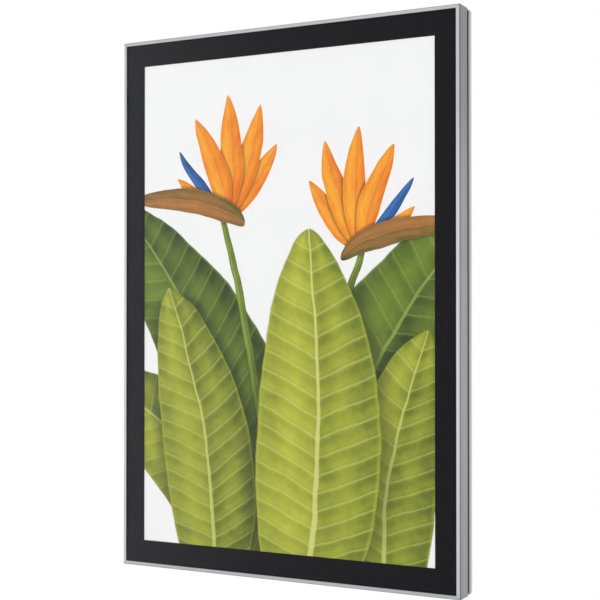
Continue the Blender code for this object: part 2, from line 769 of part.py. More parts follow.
def add_cover_screws(finish):
    profile = screw_profile(
        COVER_SCREW_RADIUS, COVER_SCREW_LENGTH, COVER_SCREW_HEAD_RADIUS, COVER_SCREW_HEAD_HEIGHT
    )
    for index, (side, along) in enumerate(cover_screw_places(), start=1):
        place = side_point(side, along, SCREW_LINE_INSET, WELL_SEAT + TOUCH_GAP)
        turned(f"cover_screw_{index}", profile, place, POINTS_FORWARD, finish, FIXING_SEGMENTS)


def add_light_seal(finish):
    outer = REAR_COVER_INSET + SEAL_INSET
    inner = outer + SEAL_WIDTH
    outlines = [
        rounded_rectangle(WIDTH - 2 * inset, HEIGHT - 2 * inset, REAR_CORNER_RADIUS - SEAL_INSET)
        for inset in (outer, inner)
    ]
    flat_ring("light_seal", *outlines, PROFILE_DEPTH + TOUCH_GAP, REAR_RIM - TOUCH_GAP, finish)


def led_bar_heights():
    first = -LED_BAR_PITCH * (LED_BAR_COUNT - 1) / 2
    return [first + LED_BAR_PITCH * index for index in range(LED_BAR_COUNT)]


def add_led_bars(finish):
    """Strips on the floor, each with its lenses and the connector that its leads plug into."""
    base = -LED_BAR_THICKNESS / 2
    lens = [(LED_LENS_RADIUS * across, LED_LENS_HEIGHT * up) for across, up in LED_LENS_SHAPE]
    lens += [(LED_LENS_RADIUS, base), (0, base)]
    first = -LED_PITCH * (LED_COUNT - 1) / 2
    for index, height in enumerate(led_bar_heights(), start=1):
        outline = rectangle(LED_BAR_LENGTH, LED_BAR_WIDTH)
        bar = slab(f"led_bar_{index}", outline, BAR_FRONT, BAR_REAR, finish, (0, height))
        places = [Vector((first + LED_PITCH * led, y_of(BAR_FRONT), height)) for led in range(LED_COUNT)]
        lenses = turned_set(f"led_lenses_{index}", lens, places, POINTS_FORWARD, LENS_SEGMENTS)
        boolean(bar, lenses, "UNION")
        block = slab(
            f"led_connector_{index}",
            rectangle(CONNECTOR_LENGTH, CONNECTOR_WIDTH),
            BAR_FRONT - CONNECTOR_HEIGHT,
            BAR_FRONT - base,
            centre=(CONNECTOR_X, height),
        )
        boolean(bar, as_cutter(block), "UNION")


def add_inlet(finish, nut_finish):
    outer = side_point("bottom", 0, REAR_COVER_INSET - TOUCH_GAP, INLET_DEPTH)
    flange = INLET_FLANGE_HEIGHT
    profile = [
        (0, flange - INLET_PIN_SETBACK),
        (INLET_PIN_RADIUS, flange - INLET_PIN_SETBACK),
        (INLET_PIN_RADIUS, flange - INLET_BORE_DEPTH),
        (INLET_BORE_RADIUS, flange - INLET_BORE_DEPTH),
        (INLET_BORE_RADIUS, flange),
        (INLET_FLANGE_RADIUS, flange),
        (INLET_FLANGE_RADIUS, 0),
        (INLET_BARREL_RADIUS, 0),
        (INLET_BARREL_RADIUS, flange - INLET_LENGTH),
        (0, flange - INLET_LENGTH),
    ]
    place = (INLET_X, outer.y, outer.z)
    turned("power_inlet", profile, place, POINTS_DOWN, finish)
    inner = side_point("bottom", 0, WALL_INNER + TOUCH_GAP, INLET_DEPTH)
    hole = INLET_BARREL_RADIUS + HOLE_PLAY
    corner = INLET_NUT_ACROSS_FLATS / 2 / math.cos(math.radians(30))
    bm = bmesh.new()
    loops = []
    for radius, height in ((corner, 0), (corner, INLET_NUT_HEIGHT), (hole, INLET_NUT_HEIGHT), (hole, 0)):
        points = arc((0, 0), radius, 0, 330, 11) if radius == hole else hexagon(radius)
        loops.append([bm.verts.new((x, y, height)) for x, y in points])
    for index, loop in enumerate(loops):
        join_loops(bm, loop, loops[(index + 1) % len(loops)])
    nut = add_mesh("inlet_nut", bm, nut_finish)
    nut.location = (INLET_X, inner.y, inner.z)
    return Vector((INLET_X, outer.y, outer.z + INLET_LENGTH - flange + TOUCH_GAP))


def hexagon(corner):
    """A hexagon with a point halfway along each side, so that it pairs with twelve points."""
    points = []
    for step in range(12):
        radius = corner if step % 2 == 0 else corner * math.cos(math.radians(30))
        angle = math.radians(30 * step)
        points.append((radius * math.cos(angle), radius * math.sin(angle)))
    return points


def smooth_route(points, spacing):
    """A smooth curve through the route's points, with its own points evenly spaced."""
    spans = [(after - before).length for before, after in zip(points, points[1:])]
    slopes = [(after - before) / span for before, after, span in zip(points, points[1:], spans)]
    tangents = [slopes[0]]
    for index in range(1, len(slopes)):
        total = spans[index - 1] + spans[index]
        tangents.append((slopes[index - 1] * spans[index] + slopes[index] * spans[index - 1]) / total)
    tangents.append(slopes[-1])
    route = []
    for index, span in enumerate(spans):
        steps = max(round(span / spacing), 1)
        for step in range(steps):
            t = step / steps
            start = points[index] * (1 + 2 * t) + tangents[index] * span * t
            end = points[index + 1] * (3 - 2 * t) - tangents[index + 1] * span * (1 - t)
            route.append(start * (1 - t) ** 2 + end * t * t)
    return [*route, points[-1]]


def add_lead(name, points, finish):
    curve = bpy.data.curves.new(name, "CURVE")
    curve.dimensions = "3D"
    curve.bevel_depth = LEAD_RADIUS
    curve.bevel_resolution = 2
    curve.render_resolution_u = 0
    curve.use_fill_caps = True
    route = smooth_route([Vector(point) for point in points], LEAD_STEP)
    spline = curve.splines.new("POLY")
    spline.points.add(len(route) - 1)
    for spot, place in zip(spline.points, route):
        spot.co = (*place, 1)
    curve.materials.append(finish)
    obj = bpy.data.objects.new(name, curve)
    bpy.context.scene.collection.objects.link(obj)


def add_leads(finish, inlet_end):
    depth = y_of(LEAD_DEPTH)
    end_gap = CONNECTOR_WIDTH / 2 + TOUCH_GAP
    heights = led_bar_heights()
    bow = CONNECTOR_X + LEAD_SPARE
    for index, (low, high) in enumerate(zip(heights, heights[1:]), start=1):
        start = low + end_gap
        end = high - end_gap
        third = (end - start) / 3
        route = [
            (CONNECTOR_X, depth, start),
            (CONNECTOR_X, depth, start + LEAD_STRAIGHT),
            (bow, depth, start + third),
            (bow, depth, end - third),
            (CONNECTOR_X, depth, end - LEAD_STRAIGHT),
            (CONNECTOR_X, depth, end),
        ]
        add_lead(f"link_lead_{index}", route, finish)
    end = heights[0] - end_gap
    third = (end - inlet_end.z) / 3
    route = [
        inlet_end,
        inlet_end + Vector((0, 0, LEAD_STRAIGHT)),
        (inlet_end.x + LEAD_STRAIGHT, (inlet_end.y + depth) / 2, inlet_end.z + third),
        (CONNECTOR_X - LEAD_STRAIGHT, depth, end - third),
        (CONNECTOR_X, depth, end - LEAD_STRAIGHT),
        (CONNECTOR_X, depth, end),
    ]
    add_lead("supply_lead", route, finish)


def main():
    clear_scene()
    aluminium = material("anodised_aluminium", (0.72, 0.73, 0.74), 0.32, 1.0)
    zinc = material("zinc_plated_steel", (0.62, 0.62, 0.6), 0.35, 1.0)
    steel = material("galvanised_steel", (0.5, 0.51, 0.52), 0.4, 1.0)
    clear = material("clear_acrylic", (0.97, 0.98, 0.98), 0.03, 0.0, 1.0)
    black = material("black_print", (0.012, 0.012, 0.013), 0.35)
    magnet = material("magnet_tape", (0.06, 0.05, 0.045), 0.6)
    paper = material("printed_film", (0.9, 0.9, 0.88), 0.45)
    opal = material("opal_acrylic", (0.92, 0.92, 0.92), 0.3, 0.0, 0.3)
    grey = material("light_grey_plastic", (0.62, 0.62, 0.62), 0.5)
    foam = material("black_foam", (0.03, 0.03, 0.03), 0.9)
    board = material("white_circuit_board", (0.85, 0.86, 0.85), 0.4)
    dark = material("dark_plastic", (0.025, 0.025, 0.028), 0.4)
    jacket = material("lead_jacket", (0.7, 0.7, 0.68), 0.5)

    flange_bores = add_flange_bores()
    add_profiles(aluminium, flange_bores)
    add_corner_keys(zinc, zinc, flange_bores)
    add_side_strips("steel_strip", STEEL_FRONT, STEEL_THICKNESS, steel)
    add_cover(clear, black, magnet)
    add_picture(paper, opal)
    add_light_seal(foam)
    add_keyhole_plates(steel)
    add_rivets(aluminium)
    add_rear_cover(grey)
    add_cover_screws(zinc)
    add_led_bars(board)
    add_leads(jacket, add_inlet(dark, zinc))


main()
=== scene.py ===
# Backlit poster frame: the finishes, the printed leaves and the small parts
import json
import math

import bmesh
import bpy
from mathutils import Matrix, Vector


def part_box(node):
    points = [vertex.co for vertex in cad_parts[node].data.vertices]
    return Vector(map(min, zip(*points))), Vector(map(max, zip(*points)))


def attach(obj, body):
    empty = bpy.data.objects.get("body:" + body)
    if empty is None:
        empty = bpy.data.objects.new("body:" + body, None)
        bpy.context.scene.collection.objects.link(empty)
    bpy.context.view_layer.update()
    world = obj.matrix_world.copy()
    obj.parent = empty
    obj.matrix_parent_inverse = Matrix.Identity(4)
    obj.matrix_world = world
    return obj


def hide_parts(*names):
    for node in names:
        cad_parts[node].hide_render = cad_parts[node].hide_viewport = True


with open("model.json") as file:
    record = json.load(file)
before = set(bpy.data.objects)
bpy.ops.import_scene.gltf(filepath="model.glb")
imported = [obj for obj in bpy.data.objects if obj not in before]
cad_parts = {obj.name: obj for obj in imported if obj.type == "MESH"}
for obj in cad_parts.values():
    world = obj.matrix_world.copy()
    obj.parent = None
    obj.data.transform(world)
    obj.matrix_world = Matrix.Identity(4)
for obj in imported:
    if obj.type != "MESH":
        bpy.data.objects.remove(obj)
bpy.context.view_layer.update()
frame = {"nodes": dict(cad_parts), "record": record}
scene = bpy.context.scene
print("frame loaded:", len(frame["nodes"]), "parts")


def screenColour(red, green, blue):
    # a colour given as on screen, 0 to 255, as Blender wants it
    def straight(value):
        share = value / 255
        return share / 12.92 if share <= 0.04045 else ((share + 0.055) / 1.055) ** 2.4

    return (straight(red), straight(green), straight(blue), 1.0)


black = (0.0, 0.0, 0.0, 1.0)

# Camera at the photo's viewing angle: to the right of the frame and level with its middle

cameraSetup = {
    "place": (1.4942, -2.2308, -0.0223),
    "tilt": 90.706,
    "turn": 33.57,
    "lens": 96.93,
    "sensor": 36.0,
    "shift": (-0.0055, -0.0067),
}


def addCamera():
    lensData = bpy.data.cameras.new("studioCamera")
    lensData.lens = cameraSetup["lens"]
    lensData.sensor_width = cameraSetup["sensor"]
    lensData.shift_x, lensData.shift_y = cameraSetup["shift"]
    camera = bpy.data.objects.new("studioCamera", lensData)
    scene.collection.objects.link(camera)
    camera.location = cameraSetup["place"]
    camera.rotation_euler = (math.radians(cameraSetup["tilt"]), 0, math.radians(cameraSetup["turn"]))
    scene.camera = camera


# Shader helpers


def plug(tree, value, socket):
    if isinstance(value, bpy.types.NodeSocket):
        tree.links.new(value, socket)
    else:
        socket.default_value = value


def addNode(tree, kind, inputs=None, **settings):
    made = tree.nodes.new("ShaderNode" + kind)
    for name, value in settings.items():
        setattr(made, name, value)
    for name, value in (inputs or {}).items():
        plug(tree, value, made.inputs[name])
    return made


def maths(tree, operation, *values):
    made = addNode(tree, "Math", operation=operation)
    for value, socket in zip(values, made.inputs):
        plug(tree, value, socket)
    return made.outputs[0]


def vectorMaths(tree, operation, inputs):
    # output 0 is the vector, output 1 the value of a dot product
    return addNode(tree, "VectorMath", inputs, operation=operation).outputs


def mixColours(tree, share, first, second, blend="MIX"):
    made = addNode(tree, "Mix", data_type="RGBA", blend_type=blend)
    for value, socket in ((share, made.inputs[0]), (first, made.inputs[6]), (second, made.inputs[7])):
        plug(tree, value, socket)
    return made.outputs[2]


def mixShades(tree, share, first, second):
    # the same with colours given as on screen
    return mixColours(tree, share, screenColour(*first), screenColour(*second))


def ramp(tree, value, low, high, out=(0.0, 1.0), smooth=True):
    # value from low to high becomes out[0] to out[1]
    made = addNode(tree, "MapRange", {"Value": value, "From Min": low, "From Max": high})
    made.interpolation_type = "SMOOTHSTEP" if smooth else "LINEAR"
    made.clamp = not smooth  # the smooth step stays between its ends by itself
    plug(tree, out[0], made.inputs["To Min"])
    plug(tree, out[1], made.inputs["To Max"])
    return made.outputs["Result"]


def newGroup(name, inputs, outputs):
    # every group is given the place on the object first
    group = bpy.data.node_groups.new(name, "ShaderNodeTree")
    for socketName, kind, value in [("Vector", "Vector", None)] + inputs:
        socket = group.interface.new_socket(socketName, in_out="INPUT", socket_type="NodeSocket" + kind)
        if value is not None:
            socket.default_value = value
    for socketName, kind in outputs:
        group.interface.new_socket(socketName, in_out="OUTPUT", socket_type="NodeSocket" + kind)
    given = group.nodes.new("NodeGroupInput").outputs
    result = group.nodes.new("NodeGroupOutput").inputs
    return group, given, result


def useGroup(tree, group, inputs):
    made = addNode(tree, "Group", node_tree=group)
    for name, value in inputs.items():
        plug(tree, value, made.inputs[name])
    return made.outputs


def newMaterial(name, settings):
    made = bpy.data.materials.new(name)
    made.use_nodes = True
    tree = made.node_tree
    shader = tree.nodes["Principled BSDF"]
    for socketName, value in settings.items():
        shader.inputs[socketName].default_value = value
    place = addNode(tree, "TexCoord").outputs["Object"]
    return made, tree, shader, place


def addBump(tree, shader, height, distance, strength=1.0):
    bump = addNode(tree, "Bump", {"Height": height, "Distance": distance, "Strength": strength})
    tree.links.new(bump.outputs["Normal"], shader.inputs["Normal"])


# Effects that several finishes share


def makeHandlingGroup():
    # soft smears and a few faint wipes, as on anything handled
    group, given, result = newGroup(
        "handling", [("Size", "Float", 0.12), ("Wipe", "Float", 0.4)], [("Smear", "Float")]
    )
    scale = maths(group, "DIVIDE", 1.0, given["Size"])
    soft = addNode(group, "TexNoise", {"Vector": given["Vector"], "Scale": scale, "Detail": 3.0})
    stretched = addNode(group, "Mapping", {"Vector": given["Vector"], "Scale": (1.0, 1.0, 6.0)})
    stretched.inputs["Rotation"].default_value = (0.0, 0.6, 0.0)
    wipes = addNode(group, "TexNoise", {"Vector": stretched.outputs[0], "Scale": scale, "Detail": 5.0})
    patches = ramp(group, soft.outputs["Fac"], 0.45, 0.7)
    streaks = ramp(group, wipes.outputs["Fac"], 0.5, 0.72)
    both = maths(group, "MULTIPLY_ADD", streaks, given["Wipe"], patches)
    group.links.new(maths(group, "MINIMUM", both, 1.0), result["Smear"])
    return group


def makeDrawnLinesGroup():
    # the fine lengthwise lines that a die leaves on drawn metal; Stretch is small along the lines
    group, given, result = newGroup(
        "drawnLines",
        [("Stretch", "Vector", (1.0, 1.0, 1.0)), ("Spacing", "Float", 0.0008)],
        [("Lines", "Float"), ("Bands", "Float")],
    )
    place = vectorMaths(group, "MULTIPLY", {0: given["Vector"], 1: given["Stretch"]})[0]
    fineScale = maths(group, "DIVIDE", 1.0, given["Spacing"])
    broadScale = maths(group, "MULTIPLY", fineScale, 0.22)
    fine = addNode(group, "TexNoise", {"Vector": place, "Scale": fineScale, "Detail": 2.0})
    broad = addNode(group, "TexNoise", {"Vector": place, "Scale": broadScale, "Detail": 1.0})
    group.links.new(fine.outputs["Fac"], result["Lines"])
    group.links.new(broad.outputs["Fac"], result["Bands"])
    return group


def makeMouldGrainGroup():
    # the spark-eroded grain of a mould, with slow changes in how deep it is
    group, given, result = newGroup(
        "mouldGrain", [("Grain", "Float", 0.0006)], [("Height", "Float"), ("Tone", "Float")]
    )
    fineScale = maths(group, "DIVIDE", 1.0, given["Grain"])
    cells = addNode(group, "TexVoronoi", {"Vector": given["Vector"], "Scale": fineScale})
    grains = addNode(group, "TexNoise", {"Vector": given["Vector"], "Scale": fineScale, "Detail": 2.0})
    height = maths(group, "MULTIPLY", cells.outputs["Distance"], grains.outputs["Fac"])
    group.links.new(height, result["Height"])
    slow = addNode(group, "TexNoise", {"Vector": given["Vector"], "Scale": 9.0, "Detail": 2.0})
    group.links.new(slow.outputs["Fac"], result["Tone"])
    return group


def makePaintedLampGlowGroup():
    # painted light: brighter over each lamp and darker between them, as far as the diffuser lets it through
    group, given, result = newGroup(
        "paintedLampGlow",
        [("Pitch", "Vector", (0.1, 1.0, 0.1)), ("Depth", "Float", 0.03)],
        [("Level", "Float")],
    )
    cycles = vectorMaths(group, "DIVIDE", {0: given["Vector"], 1: given["Pitch"]})[0]
    split = addNode(group, "SeparateXYZ", {"Vector": cycles}).outputs
    # six lamps each way: the middle of the picture falls between two of them
    across = maths(group, "COSINE", maths(group, "MULTIPLY_ADD", split["X"], math.tau, math.pi))
    up = maths(group, "COSINE", maths(group, "MULTIPLY_ADD", split["Z"], math.tau, math.pi))
    wave = maths(group, "MULTIPLY", maths(group, "ADD", across, up), 0.5)
    group.links.new(maths(group, "MULTIPLY_ADD", wave, given["Depth"], 1.0), result["Level"])
    return group


def makePrintedLeafGroup():
    # one printed leaf or petal laid over what is below it. Lengthwise and Sideways bring the picture to
    # the leaf's own axes: 0 to 1 from root to tip, and -1 to 1 across its widest part
    group, given, result = newGroup(
        "printedLeaf",
        [
            ("Below", "Color", None),
            ("Mottle", "Float", 0.5),
            ("Root", "Vector", None),
            ("Lengthwise", "Vector", None),
            ("Sideways", "Vector", None),
            ("Bend", "Float", 0.0),
            ("Fullness", "Float", 0.6),
            ("Veins", "Float", 12.0),
            ("Ribbing", "Float", 0.5),
            ("Light", "Color", None),
            ("Dark", "Color", None),
            ("Rib", "Color", None),
        ],
        [("Color", "Color")],
    )
    away = vectorMaths(group, "SUBTRACT", {0: given["Vector"], 1: given["Root"]})[0]
    reach = vectorMaths(group, "DOT_PRODUCT", {0: away, 1: given["Lengthwise"]})[1]
    aside = vectorMaths(group, "DOT_PRODUCT", {0: away, 1: given["Sideways"]})[1]
    along = maths(group, "POWER", maths(group, "MAXIMUM", reach, 0.0), 0.8)
    # zero at root and tip, one in the middle
    arch = maths(group, "MULTIPLY", along, maths(group, "SUBTRACT", 1.0, along))
    arch = maths(group, "MULTIPLY", arch, 4.0)
    across = maths(group, "MULTIPLY_ADD", arch, given["Bend"], aside)
    outline = maths(group, "POWER", maths(group, "MAXIMUM", arch, 0.0), given["Fullness"])
    distance = maths(group, "ABSOLUTE", across)
    inside = maths(group, "SUBTRACT", outline, distance)
    # a soft shade on the leaves below, and none on the white ground, whose blue is high
    shade = ramp(group, inside, -0.3, 0.05, (0.0, 0.6))
    blue = addNode(group, "SeparateColor", {"Color": given["Below"]}).outputs["Blue"]
    shade = maths(group, "MULTIPLY", shade, ramp(group, blue, 0.6, 0.3))
    shade = maths(group, "MULTIPLY", shade, ramp(group, arch, 0.0, 0.15))
    below = mixColours(group, shade, given["Below"], (0.01, 0.02, 0.005, 1.0))
    share = maths(group, "DIVIDE", distance, maths(group, "MAXIMUM", outline, 0.05))
    # side veins run out and forward from the rib, with a soft fold between each two
    turns = maths(group, "MULTIPLY_ADD", along, given["Veins"], maths(group, "MULTIPLY", distance, -1.6))
    angle = maths(group, "MULTIPLY", turns, math.tau)
    lit = ramp(group, across, -0.1, 0.12, (0.3, 0.62))
    fold = maths(group, "MULTIPLY", maths(group, "SINE", angle), given["Ribbing"])
    tone = maths(group, "MULTIPLY_ADD", fold, 0.14, lit)
    fine = maths(group, "SINE", maths(group, "MULTIPLY", angle, 5.0))
    tone = maths(group, "MULTIPLY_ADD", fine, 0.025, tone)
    tone = maths(group, "MULTIPLY_ADD", maths(group, "POWER", share, 3.0), -0.22, tone)
    tone = maths(group, "MULTIPLY_ADD", maths(group, "SUBTRACT", given["Mottle"], 0.5), 1.1, tone)
    # a sheen halfway out on each half, and shade towards the root
    middle = maths(group, "ABSOLUTE", maths(group, "SUBTRACT", share, 0.45))
    tone = maths(group, "MULTIPLY_ADD", ramp(group, middle, 0.35, 0.0), 0.2, tone)
    tone = maths(group, "ADD", tone, ramp(group, along, 0.0, 0.4, (-0.3, 0.0)))
    colour = mixColours(group, tone, given["Dark"], given["Light"])
    vein = maths(group, "MULTIPLY", ramp(group, maths(group, "COSINE", angle), 0.86, 1.0), given["Ribbing"])
    colour = mixColours(group, maths(group, "MULTIPLY", vein, 0.4), colour, given["Rib"])
    # the leaf's edge catches the light
    rim = ramp(group, share, 0.91, 0.97, (0.0, 0.4))
    colour = mixColours(group, rim, colour, given["Light"])
    ribWidth = maths(group, "MULTIPLY_ADD", along, -0.06, 0.075)
    rib = ramp(group, distance, ribWidth, maths(group, "MULTIPLY", ribWidth, 0.5))
    colour = mixColours(group, maths(group, "MULTIPLY", rib, given["Ribbing"]), colour, given["Rib"])
    cover = ramp(group, inside, 0.0, 0.03)
    group.links.new(mixColours(group, cover, below, colour), result["Color"])
    return group


groups = {
    "handling": makeHandlingGroup(),
    "drawnLines": makeDrawnLinesGroup(),
    "mouldGrain": makeMouldGrainGroup(),
    "paintedLampGlow": makePaintedLampGlowGroup(),
    "printedLeaf": makePrintedLeafGroup(),
}


# Finishes


# The profile's painted shade from its front edge back: the bright lip, a painted shadow in the groove
# behind it, the darker fluted side and the dark rear edge. Millimetres from the front, share of the full
# shine
profilePaintedShade = [
    (0.0, 1.0), (0.05, 0.95), (0.3, 0.5), (0.9, 0.34), (3.4, 0.38), (4.6, 0.58), (6.5, 0.74), (8.5, 0.62),
    (12.5, 0.6), (14.5, 0.72), (17.0, 0.68), (19.5, 0.6), (23.0, 0.68), (27.5, 0.62), (29.0, 0.32),
    (30.5, 0.3),
]

aluminiumMake = {
    "bright": (240, 241, 244),
    "dull": (214, 215, 220),
    "lineSpacing": 0.0006,
    # heights from the frame's middle between which painted shade darkens the profiles, up and down
    "paintedShadeUp": (0.1, 0.36),
    "paintedShadeDown": (-0.15, -0.42),
}
drawnLevel = (0.004, 1.0, 1.0)  # the die's lines run along the piece
drawnUpright = (1.0, 1.0, 0.004)

# The rear cover's painted shade, dark at its rim in the shadow line, lightening back to a painted highlight
# on its rounded edge, then the plain grey of its flat back. Millimetres from the wall, share of the lightest
coverPaintedShade = [(13.1, 0.32), (9.8, 0.5), (6.0, 0.74), (2.6, 0.97), (0.4, 0.97), (0.02, 0.63), (0.0, 0.63)]


def addPaintedDepthShade(tree, place, stops):
    # painted shade along Y; stops are (metres along Y, shade) from the front back
    first, last = stops[0][0], stops[-1][0]
    back = maths(tree, "SUBTRACT", addNode(tree, "SeparateXYZ", {"Vector": place}).outputs["Y"], first)
    paintedShades = addNode(tree, "ValToRGB", {"Fac": maths(tree, "DIVIDE", back, last - first)})
    marks = paintedShades.color_ramp.elements
    while len(marks) < len(stops):
        marks.new(0.5)
    for mark, (depth, shade) in zip(marks, stops):
        mark.position = (depth - first) / (last - first)
        mark.color = (shade, shade, shade, 1.0)
    return paintedShades.outputs[0]


def makeAluminium(name, stretch, tone, ends=(1.0, 1.0)):
    # ends are the shares of the shine that are left at the top and at the bottom, a painted shade towards
    # both
    # tone is painted light above 1 and painted shade below it, over the whole finish
    made, tree, shader, place = newMaterial(name, {"Metallic": 1.0, "Roughness": 0.4})
    lines = {"Vector": place, "Stretch": stretch, "Spacing": aluminiumMake["lineSpacing"]}
    drawn = useGroup(tree, groups["drawnLines"], lines)
    smear = useGroup(tree, groups["handling"], {"Vector": place, "Size": 0.15, "Wipe": 0.3})["Smear"]
    share = maths(tree, "MULTIPLY_ADD", smear, 0.25, maths(tree, "MULTIPLY", drawn["Bands"], 0.7))
    colour = mixShades(tree, share, aluminiumMake["bright"], aluminiumMake["dull"])
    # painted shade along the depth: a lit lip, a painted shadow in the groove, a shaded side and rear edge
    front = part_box("frame_profile_top")[0].y
    stops = [(front + depth / 1000, shade * tone) for depth, shade in profilePaintedShade]
    colour = mixColours(tree, 1.0, colour, addPaintedDepthShade(tree, place, stops), "MULTIPLY")
    # painted shade towards the top and the bottom of the frame
    height = addNode(tree, "SeparateXYZ", {"Vector": place}).outputs["Z"]
    paintedShadeTop = ramp(tree, height, *aluminiumMake["paintedShadeUp"], (1.0, ends[0]))
    paintedShadeBottom = ramp(tree, height, *aluminiumMake["paintedShadeDown"], (1.0, ends[1]))
    colour = mixColours(tree, maths(tree, "MULTIPLY", paintedShadeTop, paintedShadeBottom), black, colour)
    tree.links.new(colour, shader.inputs["Base Color"])
    rough = ramp(tree, drawn["Bands"], 0.3, 0.7, (0.42, 0.52))
    rough = maths(tree, "MULTIPLY_ADD", smear, 0.05, rough)
    tree.links.new(rough, shader.inputs["Roughness"])
    addBump(tree, shader, drawn["Lines"], 0.00008, 0.8)
    return made


def makePlated(name, bright, dull, roughness, patch):
    made, tree, shader, place = newMaterial(name, {"Metallic": 1.0, "Roughness": roughness})
    cells = addNode(tree, "TexVoronoi", {"Vector": place, "Scale": 1.0 / patch})
    tint = addNode(tree, "SeparateColor", {"Color": cells.outputs["Color"]}).outputs["Red"]
    cloud = addNode(tree, "TexNoise", {"Vector": place, "Scale": 0.3 / patch, "Detail": 4.0}).outputs["Fac"]
    share = maths(tree, "MULTIPLY_ADD", tint, 0.5, maths(tree, "MULTIPLY", cloud, 0.5))
    tree.links.new(mixShades(tree, share, bright, dull), shader.inputs["Base Color"])
    rough = ramp(tree, share, 0.2, 0.8, (roughness - 0.06, roughness + 0.08))
    tree.links.new(rough, shader.inputs["Roughness"])
    addBump(tree, shader, cloud, 0.00004, 0.4)
    return made


def makeClearSheet():
    made, tree, shader, place = newMaterial("clearAcrylic", {
        "Base Color": screenColour(252, 253, 253),
        "Transmission Weight": 1.0,
        "IOR": 1.49,
        "Roughness": 0.02,
        "Specular Tint": (0.35, 0.35, 0.35, 1.0),  # coated against glare, so that the surround stays black
    })
    smear = useGroup(tree, groups["handling"], {"Vector": place, "Size": 0.2, "Wipe": 0.6})["Smear"]
    tree.links.new(ramp(tree, smear, 0.0, 1.0, (0.015, 0.045)), shader.inputs["Roughness"])
    # the sawn edges are inked black, so that no light leaks out there
    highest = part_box("front_sheet")[1]
    split = addNode(tree, "SeparateXYZ", {"Vector": place}).outputs
    across = maths(tree, "SUBTRACT", maths(tree, "ABSOLUTE", split["X"]), highest.x)
    up = maths(tree, "SUBTRACT", maths(tree, "ABSOLUTE", split["Z"]), highest.z)
    inked = ramp(tree, maths(tree, "MAXIMUM", across, up), -0.00025, -0.0001)
    ink = addNode(tree, "BsdfPrincipled", {"Base Color": screenColour(16, 16, 18), "Roughness": 0.5})
    # light goes straight through the sheet on its way to what lies behind it
    rays = addNode(tree, "LightPath").outputs
    clear = addNode(tree, "BsdfTransparent", {"Color": (0.93, 0.94, 0.94, 1.0)})
    joined = addNode(tree, "MixShader", {0: rays["Is Shadow Ray"], 1: shader.outputs[0], 2: clear.outputs[0]})
    edged = addNode(tree, "MixShader", {0: inked, 1: joined.outputs[0], 2: ink.outputs[0]})
    tree.links.new(edged.outputs[0], tree.nodes["Material Output"].inputs["Surface"])
    return made


def makeBlackPrint():
    made, tree, shader, place = newMaterial("blackPrint", {"Roughness": 0.5, "Specular IOR Level": 0.05})
    cloud = addNode(tree, "TexNoise", {"Vector": place, "Scale": 14.0, "Detail": 3.0}).outputs["Fac"]
    screen = addNode(tree, "TexNoise", {"Vector": place, "Scale": 1400.0, "Detail": 1.0}).outputs["Fac"]
    share = maths(tree, "MULTIPLY_ADD", screen, 0.4, maths(tree, "MULTIPLY", cloud, 0.6))
    colour = mixShades(tree, share, (17, 16, 22), (23, 22, 29))
    tree.links.new(colour, shader.inputs["Base Color"])
    tree.links.new(ramp(tree, cloud, 0.3, 0.7, (0.42, 0.56)), shader.inputs["Roughness"])
    addBump(tree, shader, screen, 0.00001, 0.3)
    return made


# The picture: broad leaves and two flowers, a plain botanical design of its own.
# Roots are in metres from the picture's middle, headings in degrees up from the right.

# on screen: light side, dark side, rib
leafTones = {
    "olive": ((174, 180, 56), (86, 102, 24), (206, 208, 116)),
    "deep": ((118, 140, 44), (40, 62, 18), (160, 174, 84)),
    "fresh": ((188, 190, 62), (108, 124, 30), (218, 216, 130)),
    "stem": ((150, 166, 62), (70, 92, 26), (176, 190, 90)),
    "petal": ((253, 176, 46), (226, 104, 18), (255, 206, 110)),
    "sheath": ((190, 120, 60), (92, 88, 34), (224, 150, 84)),
    "blue": ((52, 118, 190), (16, 48, 110), (110, 160, 214)),
}

# tone, root, heading, length, half width, bend, fullness, veins, ribbing
pictureLeaves = [
    ("deep", (0.00, -0.45), 119, 0.72, 0.108, 0.5, 0.62, 24, 0.6),
    ("deep", (0.04, -0.45), 60, 0.72, 0.112, -0.5, 0.62, 24, 0.6),
    ("stem", (-0.02, -0.43), 100, 0.59, 0.008, 2.5, 0.15, 0, 0.2),
    ("stem", (0.04, -0.43), 77, 0.54, 0.008, -2.5, 0.15, 0, 0.2),
    ("olive", (-0.05, -0.48), 134, 0.50, 0.096, 0.6, 0.6, 18, 0.65),
    ("olive", (0.10, -0.48), 48, 0.48, 0.094, -0.6, 0.6, 18, 0.65),
]
frontLeaves = [
    ("olive", (-0.15, -0.50), 99, 0.53, 0.094, 0.4, 0.6, 19, 0.7),
    ("olive", (0.21, -0.50), 82, 0.46, 0.090, -0.4, 0.6, 17, 0.7),
    ("fresh", (0.03, -0.52), 88, 0.64, 0.122, 0.25, 0.6, 22, 0.75),
]

# a flower's petals from back to front: tone, heading, length, half width, bend, fullness, veins, ribbing
flowerPetals = [
    ("petal", 132, 0.13, 0.016, -0.5, 0.75, 5, 0.3),
    ("petal", 112, 0.165, 0.019, -0.5, 0.75, 5, 0.3),
    ("petal", 92, 0.17, 0.020, -0.5, 0.75, 5, 0.3),
    ("petal", 70, 0.15, 0.018, -0.5, 0.75, 5, 0.3),
    ("blue", 50, 0.125, 0.0085, 0.4, 0.6, 4, 0.3),
    ("petal", 34, 0.10, 0.012, 0.4, 0.75, 5, 0.3),
    ("sheath", 12, 0.20, 0.017, -0.9, 0.5, 3, 0.3),
]

pictureMake = {
    "ground": screenColour(243, 242, 242),
    "flowers": [((-0.115, 0.145), -1, 1.2), ((0.155, 0.085), 1, 1.15)],  # head, facing, size
    "sheathStart": (0.035, 0.012),  # behind and below the head
    "sway": 0.014,  # metres over which a slow noise moves each point, half of it either way
    # the film's own painted glow in place of the lamps' light, and the share of painted light over each lamp
    "glow": 0.75,
    "lampTrace": 0.012,  # share brighter over a lamp
}


